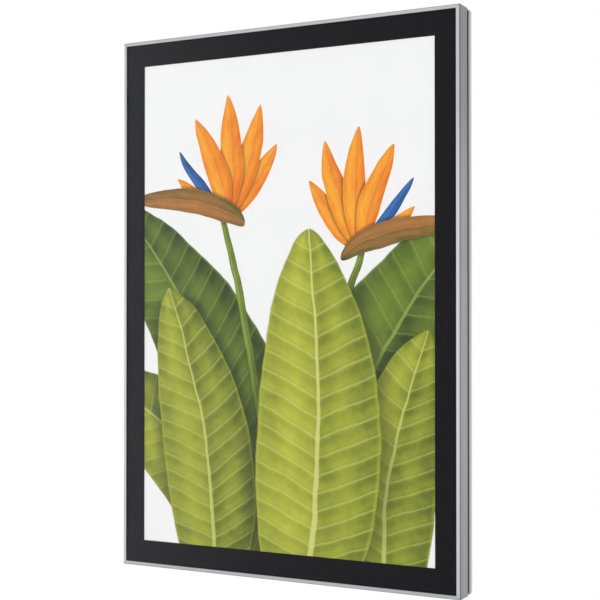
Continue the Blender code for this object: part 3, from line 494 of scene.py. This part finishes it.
def addFlower(leaves, head, facing, size):
    # facing is 1 when the beak points right and -1 when it points left
    for tone, heading, length, width, bend, *rest in flowerPetals:
        turned = heading if facing > 0 else 180 - heading
        root = head
        if tone == "sheath":
            back, down = pictureMake["sheathStart"]
            root = (head[0] - back * facing * size, head[1] - down * size)
        leaves.append((tone, root, turned, length * size, width * size, bend * facing, *rest))


def addPaintedGlow(tree, shader, place, colour, trace):
    # painted glow: the sheet gives off the lamps' light itself, brighter over each lamp
    spread = {"Vector": place, "Pitch": lampPitch(), "Depth": trace}
    level = useGroup(tree, groups["paintedLampGlow"], spread)["Level"]
    glow = vectorMaths(tree, "SCALE", {0: colour, "Scale": level})[0]
    tree.links.new(glow, shader.inputs["Emission Color"])


def makePicture():
    settings = {"Roughness": 0.42, "Specular IOR Level": 0.35, "Emission Strength": pictureMake["glow"]}
    made, tree, shader, place = newMaterial("printedFilm", settings)
    leaves = list(pictureLeaves)
    for head, facing, size in pictureMake["flowers"]:
        addFlower(leaves, head, facing, size)
    leaves += frontLeaves
    coarse = addNode(tree, "TexNoise", {"Vector": place, "Scale": 24.0, "Detail": 7.0, "Roughness": 0.68})
    mottle = coarse.outputs["Fac"]
    # no leaf grows quite true
    sway = addNode(tree, "TexNoise", {"Vector": place, "Scale": 11.0, "Detail": 2.0}).outputs["Color"]
    reach = pictureMake["sway"]
    grown = vectorMaths(tree, "MULTIPLY_ADD", {0: sway, 1: (reach, 0.0, reach), 2: place})[0]
    grown = vectorMaths(tree, "SUBTRACT", {0: grown, 1: (reach / 2, 0.0, reach / 2)})[0]
    colour = pictureMake["ground"]
    for tone, root, heading, length, width, bend, fullness, veins, ribbing in leaves:
        light, dark, rib = (screenColour(*shade) for shade in leafTones[tone])
        turn = math.radians(heading)
        laid = useGroup(tree, groups["printedLeaf"], {
            "Vector": grown,
            "Below": colour,
            "Mottle": mottle,
            "Root": (root[0], 0.0, root[1]),
            "Lengthwise": (math.cos(turn) / length, 0.0, math.sin(turn) / length),
            "Sideways": (-math.sin(turn) / width, 0.0, math.cos(turn) / width),
            "Bend": bend,
            "Fullness": fullness,
            "Veins": veins,
            "Ribbing": ribbing,
            "Light": light,
            "Dark": dark,
            "Rib": rib,
        })
        colour = laid["Color"]
    addPaintedGlow(tree, shader, place, colour, pictureMake["lampTrace"])
    # the film lets most of the light through and sends little of it back
    tree.links.new(mixColours(tree, 0.6, colour, black), shader.inputs["Base Color"])
    made.cycles.emission_sampling = "NONE"  # the sheet in front takes all of its light anyway
    return made


# The lamps behind the picture, in level bars of which the first is lowest. From a bar's end to its last
# lamp is endSpace
lampRows = {"bars": 6, "lamps": 6, "endSpace": 0.0485}


def lampPitch():
    # from one lamp to the next, read from the bars' own boxes
    lowest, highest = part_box("led_bar_1")
    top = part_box(f"led_bar_{lampRows['bars']}")[1].z
    rise = (top - lowest.z - (highest.z - lowest.z)) / (lampRows["bars"] - 1)
    run = (highest.x - lowest.x - 2 * lampRows["endSpace"]) / (lampRows["lamps"] - 1)
    return (run, 1.0, rise)


def makeOpal():
    made, tree, shader, place = newMaterial("opalAcrylic", {
        "Base Color": screenColour(244, 245, 245),
        "Roughness": 0.35,
        "Subsurface Weight": 0.3,
        "Emission Strength": 0.6,
    })
    # the diffuser's painted glow, brighter over each lamp
    addPaintedGlow(tree, shader, place, screenColour(250, 250, 248)[:3], 0.09)
    grain = useGroup(tree, groups["mouldGrain"], {"Vector": place, "Grain": 0.0009})
    addBump(tree, shader, grain["Height"], 0.00003, 0.3)
    return made


def makeMoulded(name, light, dark, roughness, grainSize, depth, paintedShades=None):
    made, tree, shader, place = newMaterial(name, {"Roughness": roughness})
    grain = useGroup(tree, groups["mouldGrain"], {"Vector": place, "Grain": grainSize})
    smear = useGroup(tree, groups["handling"], {"Vector": place, "Size": 0.18, "Wipe": 0.5})["Smear"]
    share = maths(tree, "MULTIPLY_ADD", smear, 0.3, maths(tree, "MULTIPLY", grain["Tone"], 0.7))
    colour = mixShades(tree, share, light, dark)
    # painted shade and painted highlight along the depth, where given
    if paintedShades:
        stops = [(-fromWall / 1000, shade) for fromWall, shade in paintedShades]
        colour = mixColours(tree, 1.0, colour, addPaintedDepthShade(tree, place, stops), "MULTIPLY")
    tree.links.new(colour, shader.inputs["Base Color"])
    rough = ramp(tree, grain["Tone"], 0.3, 0.7, (roughness - 0.05, roughness + 0.05))
    rough = maths(tree, "MULTIPLY_ADD", smear, 0.08, rough)
    tree.links.new(rough, shader.inputs["Roughness"])
    addBump(tree, shader, grain["Height"], depth, 0.5)
    return made


def makeFoam():
    made, tree, shader, place = newMaterial("blackFoam", {"Roughness": 0.95, "Specular IOR Level": 0.2})
    cells = addNode(tree, "TexVoronoi", {"Vector": place, "Scale": 1500.0}).outputs["Distance"]
    colour = mixShades(tree, ramp(tree, cells, 0.1, 0.6), (48, 48, 50), (22, 22, 23))
    tree.links.new(colour, shader.inputs["Base Color"])
    addBump(tree, shader, cells, 0.0003, 0.8)
    return made


def makeMagnetTape():
    made, tree, shader, place = newMaterial("magnetTape", {"Roughness": 0.6})
    lines = {"Vector": place, "Stretch": (1.0, 1.0, 1.0), "Spacing": 0.0012}
    drawn = useGroup(tree, groups["drawnLines"], lines)
    colour = mixShades(tree, drawn["Bands"], (74, 66, 60), (50, 44, 40))
    tree.links.new(colour, shader.inputs["Base Color"])
    tree.links.new(ramp(tree, drawn["Lines"], 0.3, 0.7, (0.5, 0.72)), shader.inputs["Roughness"])
    addBump(tree, shader, drawn["Lines"], 0.00008, 0.6)
    return made


def makeLedChip():
    # a yellow phosphor face that glows white when lit
    made, tree, shader, place = newMaterial("ledChip", {"Roughness": 0.4, "Emission Strength": 2.5})
    cloud = addNode(tree, "TexNoise", {"Vector": place, "Scale": 900.0, "Detail": 2.0}).outputs["Fac"]
    colour = mixShades(tree, cloud, (244, 208, 84), (252, 228, 130))
    tree.links.new(colour, shader.inputs["Base Color"])
    glow = mixShades(tree, cloud, (255, 248, 226), (255, 252, 240))
    tree.links.new(glow, shader.inputs["Emission Color"])
    return made


def makeLedLens():
    made, tree, shader, place = newMaterial("ledLens", {"Transmission Weight": 1.0, "IOR": 1.49})
    cloud = addNode(tree, "TexNoise", {"Vector": place, "Scale": 260.0, "Detail": 2.0}).outputs["Fac"]
    colour = mixShades(tree, cloud, (252, 253, 253), (246, 248, 248))
    tree.links.new(colour, shader.inputs["Base Color"])
    tree.links.new(ramp(tree, cloud, 0.3, 0.7, (0.03, 0.09)), shader.inputs["Roughness"])
    return made


# light and dark shade on screen, roughness, then the size and the depth of the mould's grain, and the
# rear cover's painted shade and painted highlight
mouldings = {
    "grey_plastic": ("greyPlastic", (253, 253, 254), (244, 244, 247), 0.5, 0.0007, 0.00006, coverPaintedShade),
    "circuit_board": ("whiteBoard", (236, 238, 236), (224, 226, 224), 0.4, 0.0004, 0.00002),
    "dark_plastic": ("darkPlastic", (34, 34, 36), (26, 26, 28), 0.35, 0.0003, 0.00002),
    "lead_jacket": ("leadJacket", (226, 226, 220), (212, 212, 205), 0.45, 0.0003, 0.00002),
    "connectorPlastic": ("connectorPlastic", (232, 228, 214), (220, 214, 198), 0.4, 0.0003, 0.00002),
}

# bright and dull shade on screen, roughness, and the size of the zinc's patches
platings = {
    "plated_fixings": ("zincPlating", (206, 207, 206), (176, 178, 182), 0.3, 0.002),
    "galvanised_steel": ("galvanisedSheet", (196, 199, 202), (158, 162, 166), 0.42, 0.006),
}

finishes = {
    # lit and shaded copies of one aluminium: painted shade on the level and left profiles, painted light on
    # the right
    "aluminiumLevelShaded": makeAluminium("aluminiumLevelShaded", drawnLevel, 0.8),
    "aluminiumRightLit": makeAluminium("aluminiumRightLit", drawnUpright, 1.05, (0.83, 0.92)),
    "aluminiumLeftShaded": makeAluminium("aluminiumLeftShaded", drawnUpright, 0.93, (0.83, 0.92)),
    "clear_acrylic": makeClearSheet(),
    "black_print": makeBlackPrint(),
    "printed_film": makePicture(),
    "opal_acrylic": makeOpal(),
    "black_foam": makeFoam(),
    "magnet_tape": makeMagnetTape(),
    "ledChip": makeLedChip(),
    "ledLens": makeLedLens(),
}
for slot, make in platings.items():
    finishes[slot] = makePlated(*make)
for slot, make in mouldings.items():
    finishes[slot] = makeMoulded(*make)


def dressFrame():
    for row in frame["record"]["subparts"]:
        name, slot = row["node"], row["material_slot"]
        finish = finishes.get(slot)
        if slot == "aluminium_profile":
            level = name.endswith(("_top", "_bottom"))
            upright = "aluminiumLeftShaded" if name.endswith("_left") else "aluminiumRightLit"
            finish = finishes["aluminiumLevelShaded" if level else upright]
        frame["nodes"][name].data.materials[0] = finish


# Shapes that the small parts share


def lathe(profile, steps=32):
    # (radius, height) points spun round Z
    bm = bmesh.new()
    verts = [bm.verts.new((radius, 0, height)) for radius, height in profile]
    edges = [bm.edges.new(pair) for pair in zip(verts, verts[1:])]
    bmesh.ops.spin(
        bm, geom=verts + edges, axis=(0, 0, 1), cent=(0, 0, 0), angle=math.tau, steps=steps, use_merge=True
    )
    bmesh.ops.remove_doubles(bm, verts=bm.verts, dist=0.000001)
    bmesh.ops.recalc_face_normals(bm, faces=bm.faces)
    return bm


def block(size, middle=(0, 0, 0), corner=0.0, edge=0.0):
    # a box whose four edges along Y are rounded by corner, and the rest by edge
    bm = bmesh.new()
    bmesh.ops.create_cube(bm, size=1.0)
    bmesh.ops.scale(bm, vec=size, verts=bm.verts)
    for width, along in ((corner, True), (edge, False)):
        if width == 0.0:
            continue
        chosen = []
        for one in bm.edges:
            if along and abs(one.verts[0].co.y - one.verts[1].co.y) > size[1] / 2:
                chosen.append(one)
            if not along and one.calc_face_angle(0.0) > math.radians(60):
                chosen.append(one)
        bmesh.ops.bevel(bm, geom=chosen, offset=width, segments=3, profile=0.5, affect="EDGES", material=-1)
    bmesh.ops.translate(bm, vec=middle, verts=bm.verts)
    return bm


def looseObject(name, bm):
    mesh = bpy.data.meshes.new(name)
    bm.to_mesh(mesh)
    bm.free()
    made = bpy.data.objects.new(name, mesh)
    scene.collection.objects.link(made)
    return made


def carve(shape, tool):
    # the first shape less the second
    body, cutter = looseObject("carveBody", shape), looseObject("carveTool", tool)
    step = body.modifiers.new("carve", "BOOLEAN")
    step.object = cutter
    step.solver = "EXACT"
    step.use_self = True
    carved = bmesh.new()
    carved.from_mesh(body.evaluated_get(bpy.context.evaluated_depsgraph_get()).to_mesh())
    for made in (body, cutter):
        mesh = made.data
        bpy.data.objects.remove(made, do_unlink=True)
        bpy.data.meshes.remove(mesh)
    return carved


def gather(shapes):
    # several shapes as one mesh
    joined = bmesh.new()
    for shape in shapes:
        mesh = bpy.data.meshes.new("gathered")
        shape.to_mesh(mesh)
        shape.free()
        joined.from_mesh(mesh)
        bpy.data.meshes.remove(mesh)
    return joined


def placed(bm, place, turn=Matrix.Identity(4)):
    bmesh.ops.transform(bm, matrix=Matrix.Translation(place) @ turn, verts=bm.verts)
    return bm


towardsFront = Matrix.Rotation(math.radians(90), 4, "X")  # brings +Z to -Y

# Degrees between two faces from which their edge stays sharp: few keep broad flats flat, more let
# turned shapes run smooth
flatsSharp = 10
turnedSharp = 32

cornerAngle = math.radians(40)  # a corner that gets its edge taken off


def addPiece(name, bm, slot, node, finish=None, sharp=turnedSharp, body="housing"):
    # a part made here in place of the frame's node, in its slot's finish unless another is named
    piece = looseObject(name, bm)
    piece.data.shade_smooth()
    piece.data.set_sharp_from_angle(angle=math.radians(sharp))
    piece.data.materials.append(finishes[finish or slot])
    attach(piece, body)
    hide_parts(node)


def middleOf(node):
    lowest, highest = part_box(node)
    return (lowest + highest) / 2


# Screws: a pan head with a cross in it, over a threaded shank

screwMake = {
    "cover_screw": {"count": 8, "shank": 0.00175, "headHeight": 0.0022, "pitch": 0.0006},
    "corner_screw": {"count": 8, "shank": 0.002, "headHeight": 0.002, "pitch": 0.0007},
    "root": 0.8,  # shares of the shank's radius: the thread's root and the end's cone
    "cone": 0.5,
    "crest": 0.12,  # half of the thread's flat crest, share of the pitch
    "headEdge": 0.0002,
    # the pan's outline from its rim to its top, shares of the head's radius and height
    "headOutline": [(1.0, 0.42), (0.96, 0.66), (0.84, 0.86), (0.62, 0.97), (0.3, 1.0), (0, 1.0)],
    "crossReach": 0.56,  # shares of the head's radius
    "crossWidth": 0.17,
    "crossDepth": 0.75,  # share of the head's height
    "crossTaper": (0.4, 0.6),  # what is left of reach and width at the bottom
    "turnEach": 37,  # degrees from one to the next, since each stops where it comes tight
}


def shapeScrew(shank, headHeight, pitch, length, headRadius):
    # the head's bearing face lies at height 0, the shank rises from it
    root, cone, crest = shank * screwMake["root"], shank * screwMake["cone"], pitch * screwMake["crest"]
    edge = screwMake["headEdge"]
    profile = [(0, length), (cone, length), (root, length - cone)]
    turns = int((length - shank) / pitch)
    for turn in range(turns, 0, -1):
        height = turn * pitch
        profile += [(shank, height + crest), (shank, height - crest), (root, height - pitch * 0.5)]
    profile += [(root, 0), (headRadius - edge, 0), (headRadius, -edge)]
    profile += [(headRadius * out, -headHeight * up) for out, up in screwMake["headOutline"]]
    reach, width = headRadius * screwMake["crossReach"], headRadius * screwMake["crossWidth"]
    depth = headHeight * screwMake["crossDepth"]
    wings = []
    for quarter in (0, 90):
        wing = block((2 * reach, 2 * width, 2 * depth))
        for vert in wing.verts:
            if vert.co.z > 0:
                vert.co.x *= screwMake["crossTaper"][0]
                vert.co.y *= screwMake["crossTaper"][1]
        wings.append(placed(wing, (0, 0, -headHeight), Matrix.Rotation(math.radians(quarter), 4, "Z")))
    return carve(lathe(profile, steps=40), gather(wings))


def addScrews():
    for kind in ("cover_screw", "corner_screw"):
        make = screwMake[kind]
        lowest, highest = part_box(f"{kind}_1")
        headHeight, headRadius = make["headHeight"], (highest.x - lowest.x) / 2
        length = highest.y - lowest.y - headHeight
        pattern = shapeScrew(make["shank"], headHeight, make["pitch"], length, headRadius)
        for index in range(1, make["count"] + 1):
            node = f"{kind}_{index}"
            driven = Matrix.Rotation(math.radians(screwMake["turnEach"] * index), 4, "Z")
            seat = middleOf(node)
            seat.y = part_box(node)[1].y - headHeight
            screw = placed(pattern.copy(), seat, towardsFront @ driven)
            addPiece(f"{node}_driven", screw, "plated_fixings", node)
        pattern.free()


# Blind rivets in the keyhole plates, flush outside, with the hole where the mandrel broke off

rivetMake = {
    "count": 4,
    "shank": 0.0016,
    "head": 0.0031,
    "headEdge": (0.0002, 0.00015),
    "cone": 0.0012,
    "hole": 0.0008,
    "holeDepth": 0.0008,
    "holeEdge": 0.0001,
    "tail": 0.0012,
    "tailEdge": 0.0003,
    # the squashed tail's outline to its end, shares of the head's radius and of the tail's height
    "tailOutline": [(1.0, 0.6), (0.9, 0.25), (0.5, 0), (0, 0)],
}


def addRivets():
    make = rivetMake
    shank, head, hole = make["shank"], make["head"], make["hole"]
    lowest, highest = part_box("plate_rivet_1")
    length = highest.y - lowest.y
    tailFoot = length - make["tail"]
    profile = [
        (0, make["holeDepth"]),
        (hole, make["holeDepth"]),
        (hole, make["holeEdge"]),
        (hole + make["holeEdge"], 0),
        (head - make["headEdge"][0], 0),
        (head, make["headEdge"][1]),
        (shank, make["cone"]),
        (shank, tailFoot),
        (head - make["tailEdge"], tailFoot),
    ]
    profile += [(head * out, length - make["tail"] * left) for out, left in make["tailOutline"]]
    for index in range(1, make["count"] + 1):
        node = f"plate_rivet_{index}"
        place = middleOf(node)
        place.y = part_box(node)[1].y
        rivet = placed(lathe(profile), place, towardsFront)
        addPiece(f"{node}_set", rivet, "plated_fixings", node)


# Power inlet: threaded barrel and flange, contact sleeve and pin, and a chamfered nut inside

inletMake = {
    "flange": 0.0046,
    "flangeHeight": 0.0014,
    "flangeEdge": 0.0003,
    "barrel": 0.0038,
    "root": 0.93,  # shares of the barrel's radius: the thread's root and the bare end
    "neck": 0.85,
    "neckStart": 0.0006,  # beyond the thread's end
    "pitch": 0.0007,
    "crest": 0.0001,
    "threadEnd": 0.0108,
    "bore": 0.0028,
    "boreDepth": 0.0095,
    "boreEdge": 0.0004,
    "pin": 0.001,
    "pinSetback": 0.0015,
    "pinTip": [(0, 0), (0.6, 0.0001), (1.0, 0.0005)],  # share of its radius, distance from its end
    "pinClear": 0.0001,
    "sleeveWalls": (0.0001, 0.0003),  # its outer and inner face, in from the bore
    "sleeveRise": (0.0022, 0.0024, 0.009),  # where outer face, inner face and end are
    "nutPlay": 0.0003,
    "nutCorner": 0.0003,
}


def addInlet():
    make = inletMake
    lowest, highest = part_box("power_inlet")
    place = Vector((middleOf("power_inlet").x, middleOf("power_inlet").y, lowest.z))
    length = highest.z - lowest.z
    flange, barrel, bore, depth = make["flange"], make["barrel"], make["bore"], make["boreDepth"]
    root, neck, crest, pitch = barrel * make["root"], barrel * make["neck"], make["crest"], make["pitch"]
    profile = [
        (0, depth),
        (bore, depth),
        (bore, make["boreEdge"]),
        (bore + make["boreEdge"], 0),
        (flange - make["flangeEdge"], 0),
        (flange, make["flangeEdge"]),
        (flange, make["flangeHeight"]),
        (root, make["flangeHeight"]),
    ]
    height = make["flangeHeight"] + pitch
    while height < make["threadEnd"]:
        profile += [(barrel, height - crest), (barrel, height + crest), (root, height + pitch / 2)]
        height += pitch
    profile += [(neck, make["threadEnd"] + make["neckStart"]), (neck, length), (0, length)]
    shell = placed(lathe(profile, steps=48), place)
    addPiece("power_inlet_shell", shell, "dark_plastic", "power_inlet")

    pin, tip, foot = make["pin"], make["pinSetback"], depth - make["pinClear"]
    pinProfile = [(pin * out, tip + up) for out, up in make["pinTip"]] + [(pin, foot), (0, foot)]
    outerWall, innerWall = (bore - inside for inside in make["sleeveWalls"])
    outerStart, innerStart, end = make["sleeveRise"]
    sleeveProfile = [
        (outerWall, outerStart),
        (outerWall, end),
        (innerWall, end),
        (innerWall, innerStart),
        (outerWall, outerStart),
    ]
    contacts = placed(gather([lathe(pinProfile), lathe(sleeveProfile)]), place)
    addPiece("power_inlet_contacts", contacts, "plated_fixings", "power_inlet")

    nutLow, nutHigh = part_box("inlet_nut")
    nut = bmesh.new()
    corner, play = (nutHigh.x - nutLow.x) / 2, make["nutPlay"]
    outer = bmesh.ops.create_circle(nut, segments=6, radius=corner)["verts"]
    inner = bmesh.ops.create_circle(nut, segments=24, radius=barrel + play)["verts"]
    rims = list({edge for vert in outer + inner for edge in vert.link_edges})
    ring = bmesh.ops.bridge_loops(nut, edges=rims)["faces"]
    raised = bmesh.ops.extrude_face_region(nut, geom=ring)["geom"]
    lifted = [one for one in raised if isinstance(one, bmesh.types.BMVert)]
    bmesh.ops.translate(nut, vec=(0, 0, nutHigh.z - nutLow.z), verts=lifted)
    bmesh.ops.recalc_face_normals(nut, faces=nut.faces)
    # all its corners but those round the thread
    rounded = [
        one for one in nut.edges
        if one.calc_face_angle(0.0) > cornerAngle
        and max(math.hypot(vert.co.x, vert.co.y) for vert in one.verts) > barrel + 2 * play
    ]
    bmesh.ops.bevel(
        nut, geom=rounded, offset=make["nutCorner"], segments=2, profile=0.5, affect="EDGES", material=-1
    )
    bmesh.ops.translate(nut, vec=(place.x, place.y, nutLow.z), verts=nut.verts)
    addPiece("inlet_nut_tightened", nut, "plated_fixings", "inlet_nut")


# LED bars: board, chips, wide lenses and connector

ledMake = {
    "board": 0.0012,
    "boardCorner": 0.0015,
    "edge": 0.0002,
    "lensRadius": 0.0073,
    "lensHeight": 0.0044,
    # shares of radius and height: over the dome from its dimple to its rim, and the hollow beneath
    "dome": [
        (0, 0.72), (0.14, 0.78), (0.32, 0.97), (0.48, 1.0), (0.7, 0.86),
        (0.88, 0.56), (0.94, 0.26), (0.94, 0.14), (1.0, 0.14),
    ],
    "hollowRim": 0.38,
    "hollow": [(0.36, 0.34), (0.22, 0.5), (0, 0.56)],
    "lensFoot": 0.0001,
    "chip": (0.003, 0.0007, 0.003),
    "chipGap": 0.00005,
    "connector": (0.0098, 0.0039, 0.0078),
    "connectorEnd": 0.001,
    "connectorEdge": 0.0003,
    "port": (0.0062, 0.0022),
    "portDepth": 0.0022,
    "window": (0.4, 0.3),  # shares of the connector's width and height
    "windowDepth": 0.0012,
}


def shapeLens():
    # a clear dome with a dimple over the chip and a hollow beneath it
    radius, height, foot = ledMake["lensRadius"], ledMake["lensHeight"], ledMake["lensFoot"]
    profile = [(radius * out, height * up) for out, up in ledMake["dome"]]
    profile += [(radius, foot), (radius * ledMake["hollowRim"], foot)]
    profile += [(radius * out, height * up) for out, up in ledMake["hollow"]]
    return lathe(profile, steps=28)


def shapeConnector():
    # a port for the lead in each end, and a latch window in the front
    width, depth, height = ledMake["connector"]
    shape = block(ledMake["connector"], edge=ledMake["connectorEdge"])
    port = (*ledMake["port"], 2 * ledMake["portDepth"])
    ports = [block(port, (0, 0, side * height / 2)) for side in (-1, 1)]
    across, up = ledMake["window"]
    window = block((width * across, ledMake["windowDepth"], height * up), (0, -depth / 2, 0))
    return carve(shape, gather(ports + [window]))


def addLedBars():
    make, count = ledMake, lampRows["lamps"]
    chipDepth, edge = make["chip"][1], make["edge"]
    for index in range(1, lampRows["bars"] + 1):
        node = f"led_bar_{index}"
        lowest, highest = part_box(node)
        middle = middleOf(node)
        length, width = highest.x - lowest.x, highest.z - lowest.z
        thickness = make["board"]
        back = (middle.x, highest.y - thickness / 2, middle.z)
        board = block((length, thickness, width), back, make["boardCorner"], edge)
        face = highest.y - thickness
        pitch = (length - 2 * lampRows["endSpace"]) / (count - 1)
        lamps = [middle.x + pitch * (lamp - (count - 1) / 2) for lamp in range(count)]
        chipAt = face - chipDepth / 2 - make["chipGap"]
        chips = gather([block(make["chip"], (x, chipAt, middle.z), edge=edge) for x in lamps])
        lenses = gather([placed(shapeLens(), (x, face, middle.z), towardsFront) for x in lamps])
        end = highest.x - make["connectorEnd"] - make["connector"][0] / 2
        place = (end, face - make["connector"][1] / 2, middle.z)
        connector = placed(shapeConnector(), place)
        for part, shape, finish in (
            ("board", board, "circuit_board"),
            ("chips", chips, "ledChip"),
            ("lenses", lenses, "ledLens"),
            ("connector", connector, "connectorPlastic"),
        ):
            sharp = turnedSharp if part == "lenses" else flatsSharp
            addPiece(f"{node}_{part}", shape, "circuit_board", node, finish, sharp)


# Plates and strips with their sharp edges taken off, as the real ones have

softEdges = {
    "front_sheet": ("front_cover", 0.00035),
    "diffuser_sheet": ("housing", 0.0003),
    "keyhole_plate_left": ("housing", 0.0002),
    "keyhole_plate_right": ("housing", 0.0002),
    "corner_key_top_left": ("housing", 0.0002),
    "corner_key_top_right": ("housing", 0.0002),
    "corner_key_bottom_right": ("housing", 0.0002),
    "corner_key_bottom_left": ("housing", 0.0002),
}


def softenPlates():
    slots = {row["node"]: row["material_slot"] for row in frame["record"]["subparts"]}
    for node, (body, width) in softEdges.items():
        bm = bmesh.new()
        bm.from_mesh(frame["nodes"][node].data)
        bmesh.ops.remove_doubles(bm, verts=bm.verts, dist=0.000002)
        bmesh.ops.dissolve_limit(bm, angle_limit=math.radians(1), verts=bm.verts, edges=bm.edges)
        edges = [edge for edge in bm.edges if edge.calc_face_angle(0.0) > cornerAngle]
        bmesh.ops.bevel(bm, geom=edges, offset=width, segments=2, profile=0.5, affect="EDGES", material=-1)
        addPiece(f"{node}_eased", bm, slots[node], node, sharp=flatsSharp, body=body)


# Studio: a room of soft light, dimmer level with the frame so that the sheet stays dark

studio = {
    "floorDrop": 1.35,
    "floorSize": 7.0,
    # how bright the room is, going round it: degrees from the front (to the right is positive),
    # then the level at eye height, above and below
    "round": [
        (-180, 1.1, 0.8, 0.7), (-150, 0.8, 0.8, 0.7), (-120, 0.8, 0.8, 0.7), (-90, 1.0, 0.6, 0.6),
        (-72, 1.3, 0.55, 0.55), (-60, 1.9, 0.5, 0.5), (-51, 1.3, 0.5, 0.5), (-43, 1.0, 0.6, 0.7),
        (-35, 0.42, 0.6, 0.7), (-27, 0.26, 0.6, 0.7), (-22, 0.5, 0.6, 0.7), (-12, 0.85, 0.6, 0.55),
        (0, 1.1, 0.6, 0.55), (12, 1.35, 0.6, 0.55), (25, 1.5, 0.65, 0.6), (40, 1.5, 0.7, 0.6),
        (65, 1.45, 0.8, 0.7), (88, 1.6, 0.85, 0.75), (105, 0.95, 0.75, 0.65), (128, 0.5, 0.5, 0.45),
        (150, 0.45, 0.5, 0.45), (168, 0.8, 0.7, 0.6), (180, 1.1, 0.8, 0.7),
    ],
    # heights, as sines, between which it goes over to the level above and below
    "upwards": (0.18, 0.5),
    "downwards": (-0.18, -0.45),
    "softboxes": [("frontHigh", (-1.6, -2.6, 2.4), (2.2, 1.2), 8.0)],
}


def addRoomLight():
    world = bpy.data.worlds.new("studioWorld")
    scene.world = world
    world.use_nodes = True
    tree = world.node_tree
    toRoom = addNode(tree, "SeparateXYZ", {"Vector": addNode(tree, "TexCoord").outputs["Generated"]}).outputs
    angle = maths(tree, "ARCTAN2", toRoom["X"], maths(tree, "MULTIPLY", toRoom["Y"], -1.0))
    share = maths(tree, "MULTIPLY_ADD", angle, 1 / math.tau, 0.5)
    levels = addNode(tree, "ValToRGB", {"Fac": share})
    stops = levels.color_ramp.elements
    while len(stops) < len(studio["round"]):
        stops.new(0.5)
    brightest = max(max(row[1:]) for row in studio["round"])
    for stop, (degrees, *row) in zip(stops, studio["round"]):
        stop.position = degrees / 360 + 0.5
        stop.color = [level / brightest for level in row] + [1.0]
    atEye, above, below = addNode(tree, "SeparateColor", {"Color": levels.outputs[0]}).outputs
    room = ramp(tree, toRoom["Z"], *studio["upwards"], (atEye, above))
    room = ramp(tree, toRoom["Z"], *studio["downwards"], (room, below))
    room = maths(tree, "MULTIPLY", room, brightest)
    # the camera sees the backdrop lit to pure white
    seen = addNode(tree, "LightPath").outputs["Is Camera Ray"]
    level = ramp(tree, seen, 0.0, 1.0, (room, 1.0), smooth=False)
    tree.links.new(level, tree.nodes["Background"].inputs["Strength"])
    tree.nodes["Background"].inputs["Color"].default_value = (1.0, 1.0, 1.0, 1.0)


def addStudio():
    bm = bmesh.new()
    bmesh.ops.create_grid(bm, x_segments=8, y_segments=8, size=studio["floorSize"] / 2)
    bmesh.ops.translate(bm, vec=(0, 0, -studio["floorDrop"]), verts=bm.verts)
    floor = looseObject("studioFloor", bm)
    paint = newMaterial("paleFloor", {"Roughness": 0.7, "Base Color": screenColour(238, 238, 238)})[0]
    floor.data.materials.append(paint)
    for name, place, size, power in studio["softboxes"]:
        lamp = bpy.data.lights.new(name, "AREA")
        lamp.shape = "RECTANGLE"
        lamp.size, lamp.size_y = size
        lamp.energy = power
        box = bpy.data.objects.new(name, lamp)
        scene.collection.objects.link(box)
        box.location = place
        box.rotation_euler = (-Vector(place)).to_track_quat("-Z", "Y").to_euler()
    scene.view_settings.view_transform = "Standard"


addCamera()
dressFrame()
print("finishes on")
softenPlates()
addScrews()
addRivets()
addInlet()
addLedBars()
print("small parts made")
addStudio()
addRoomLight()
print("studio lit")
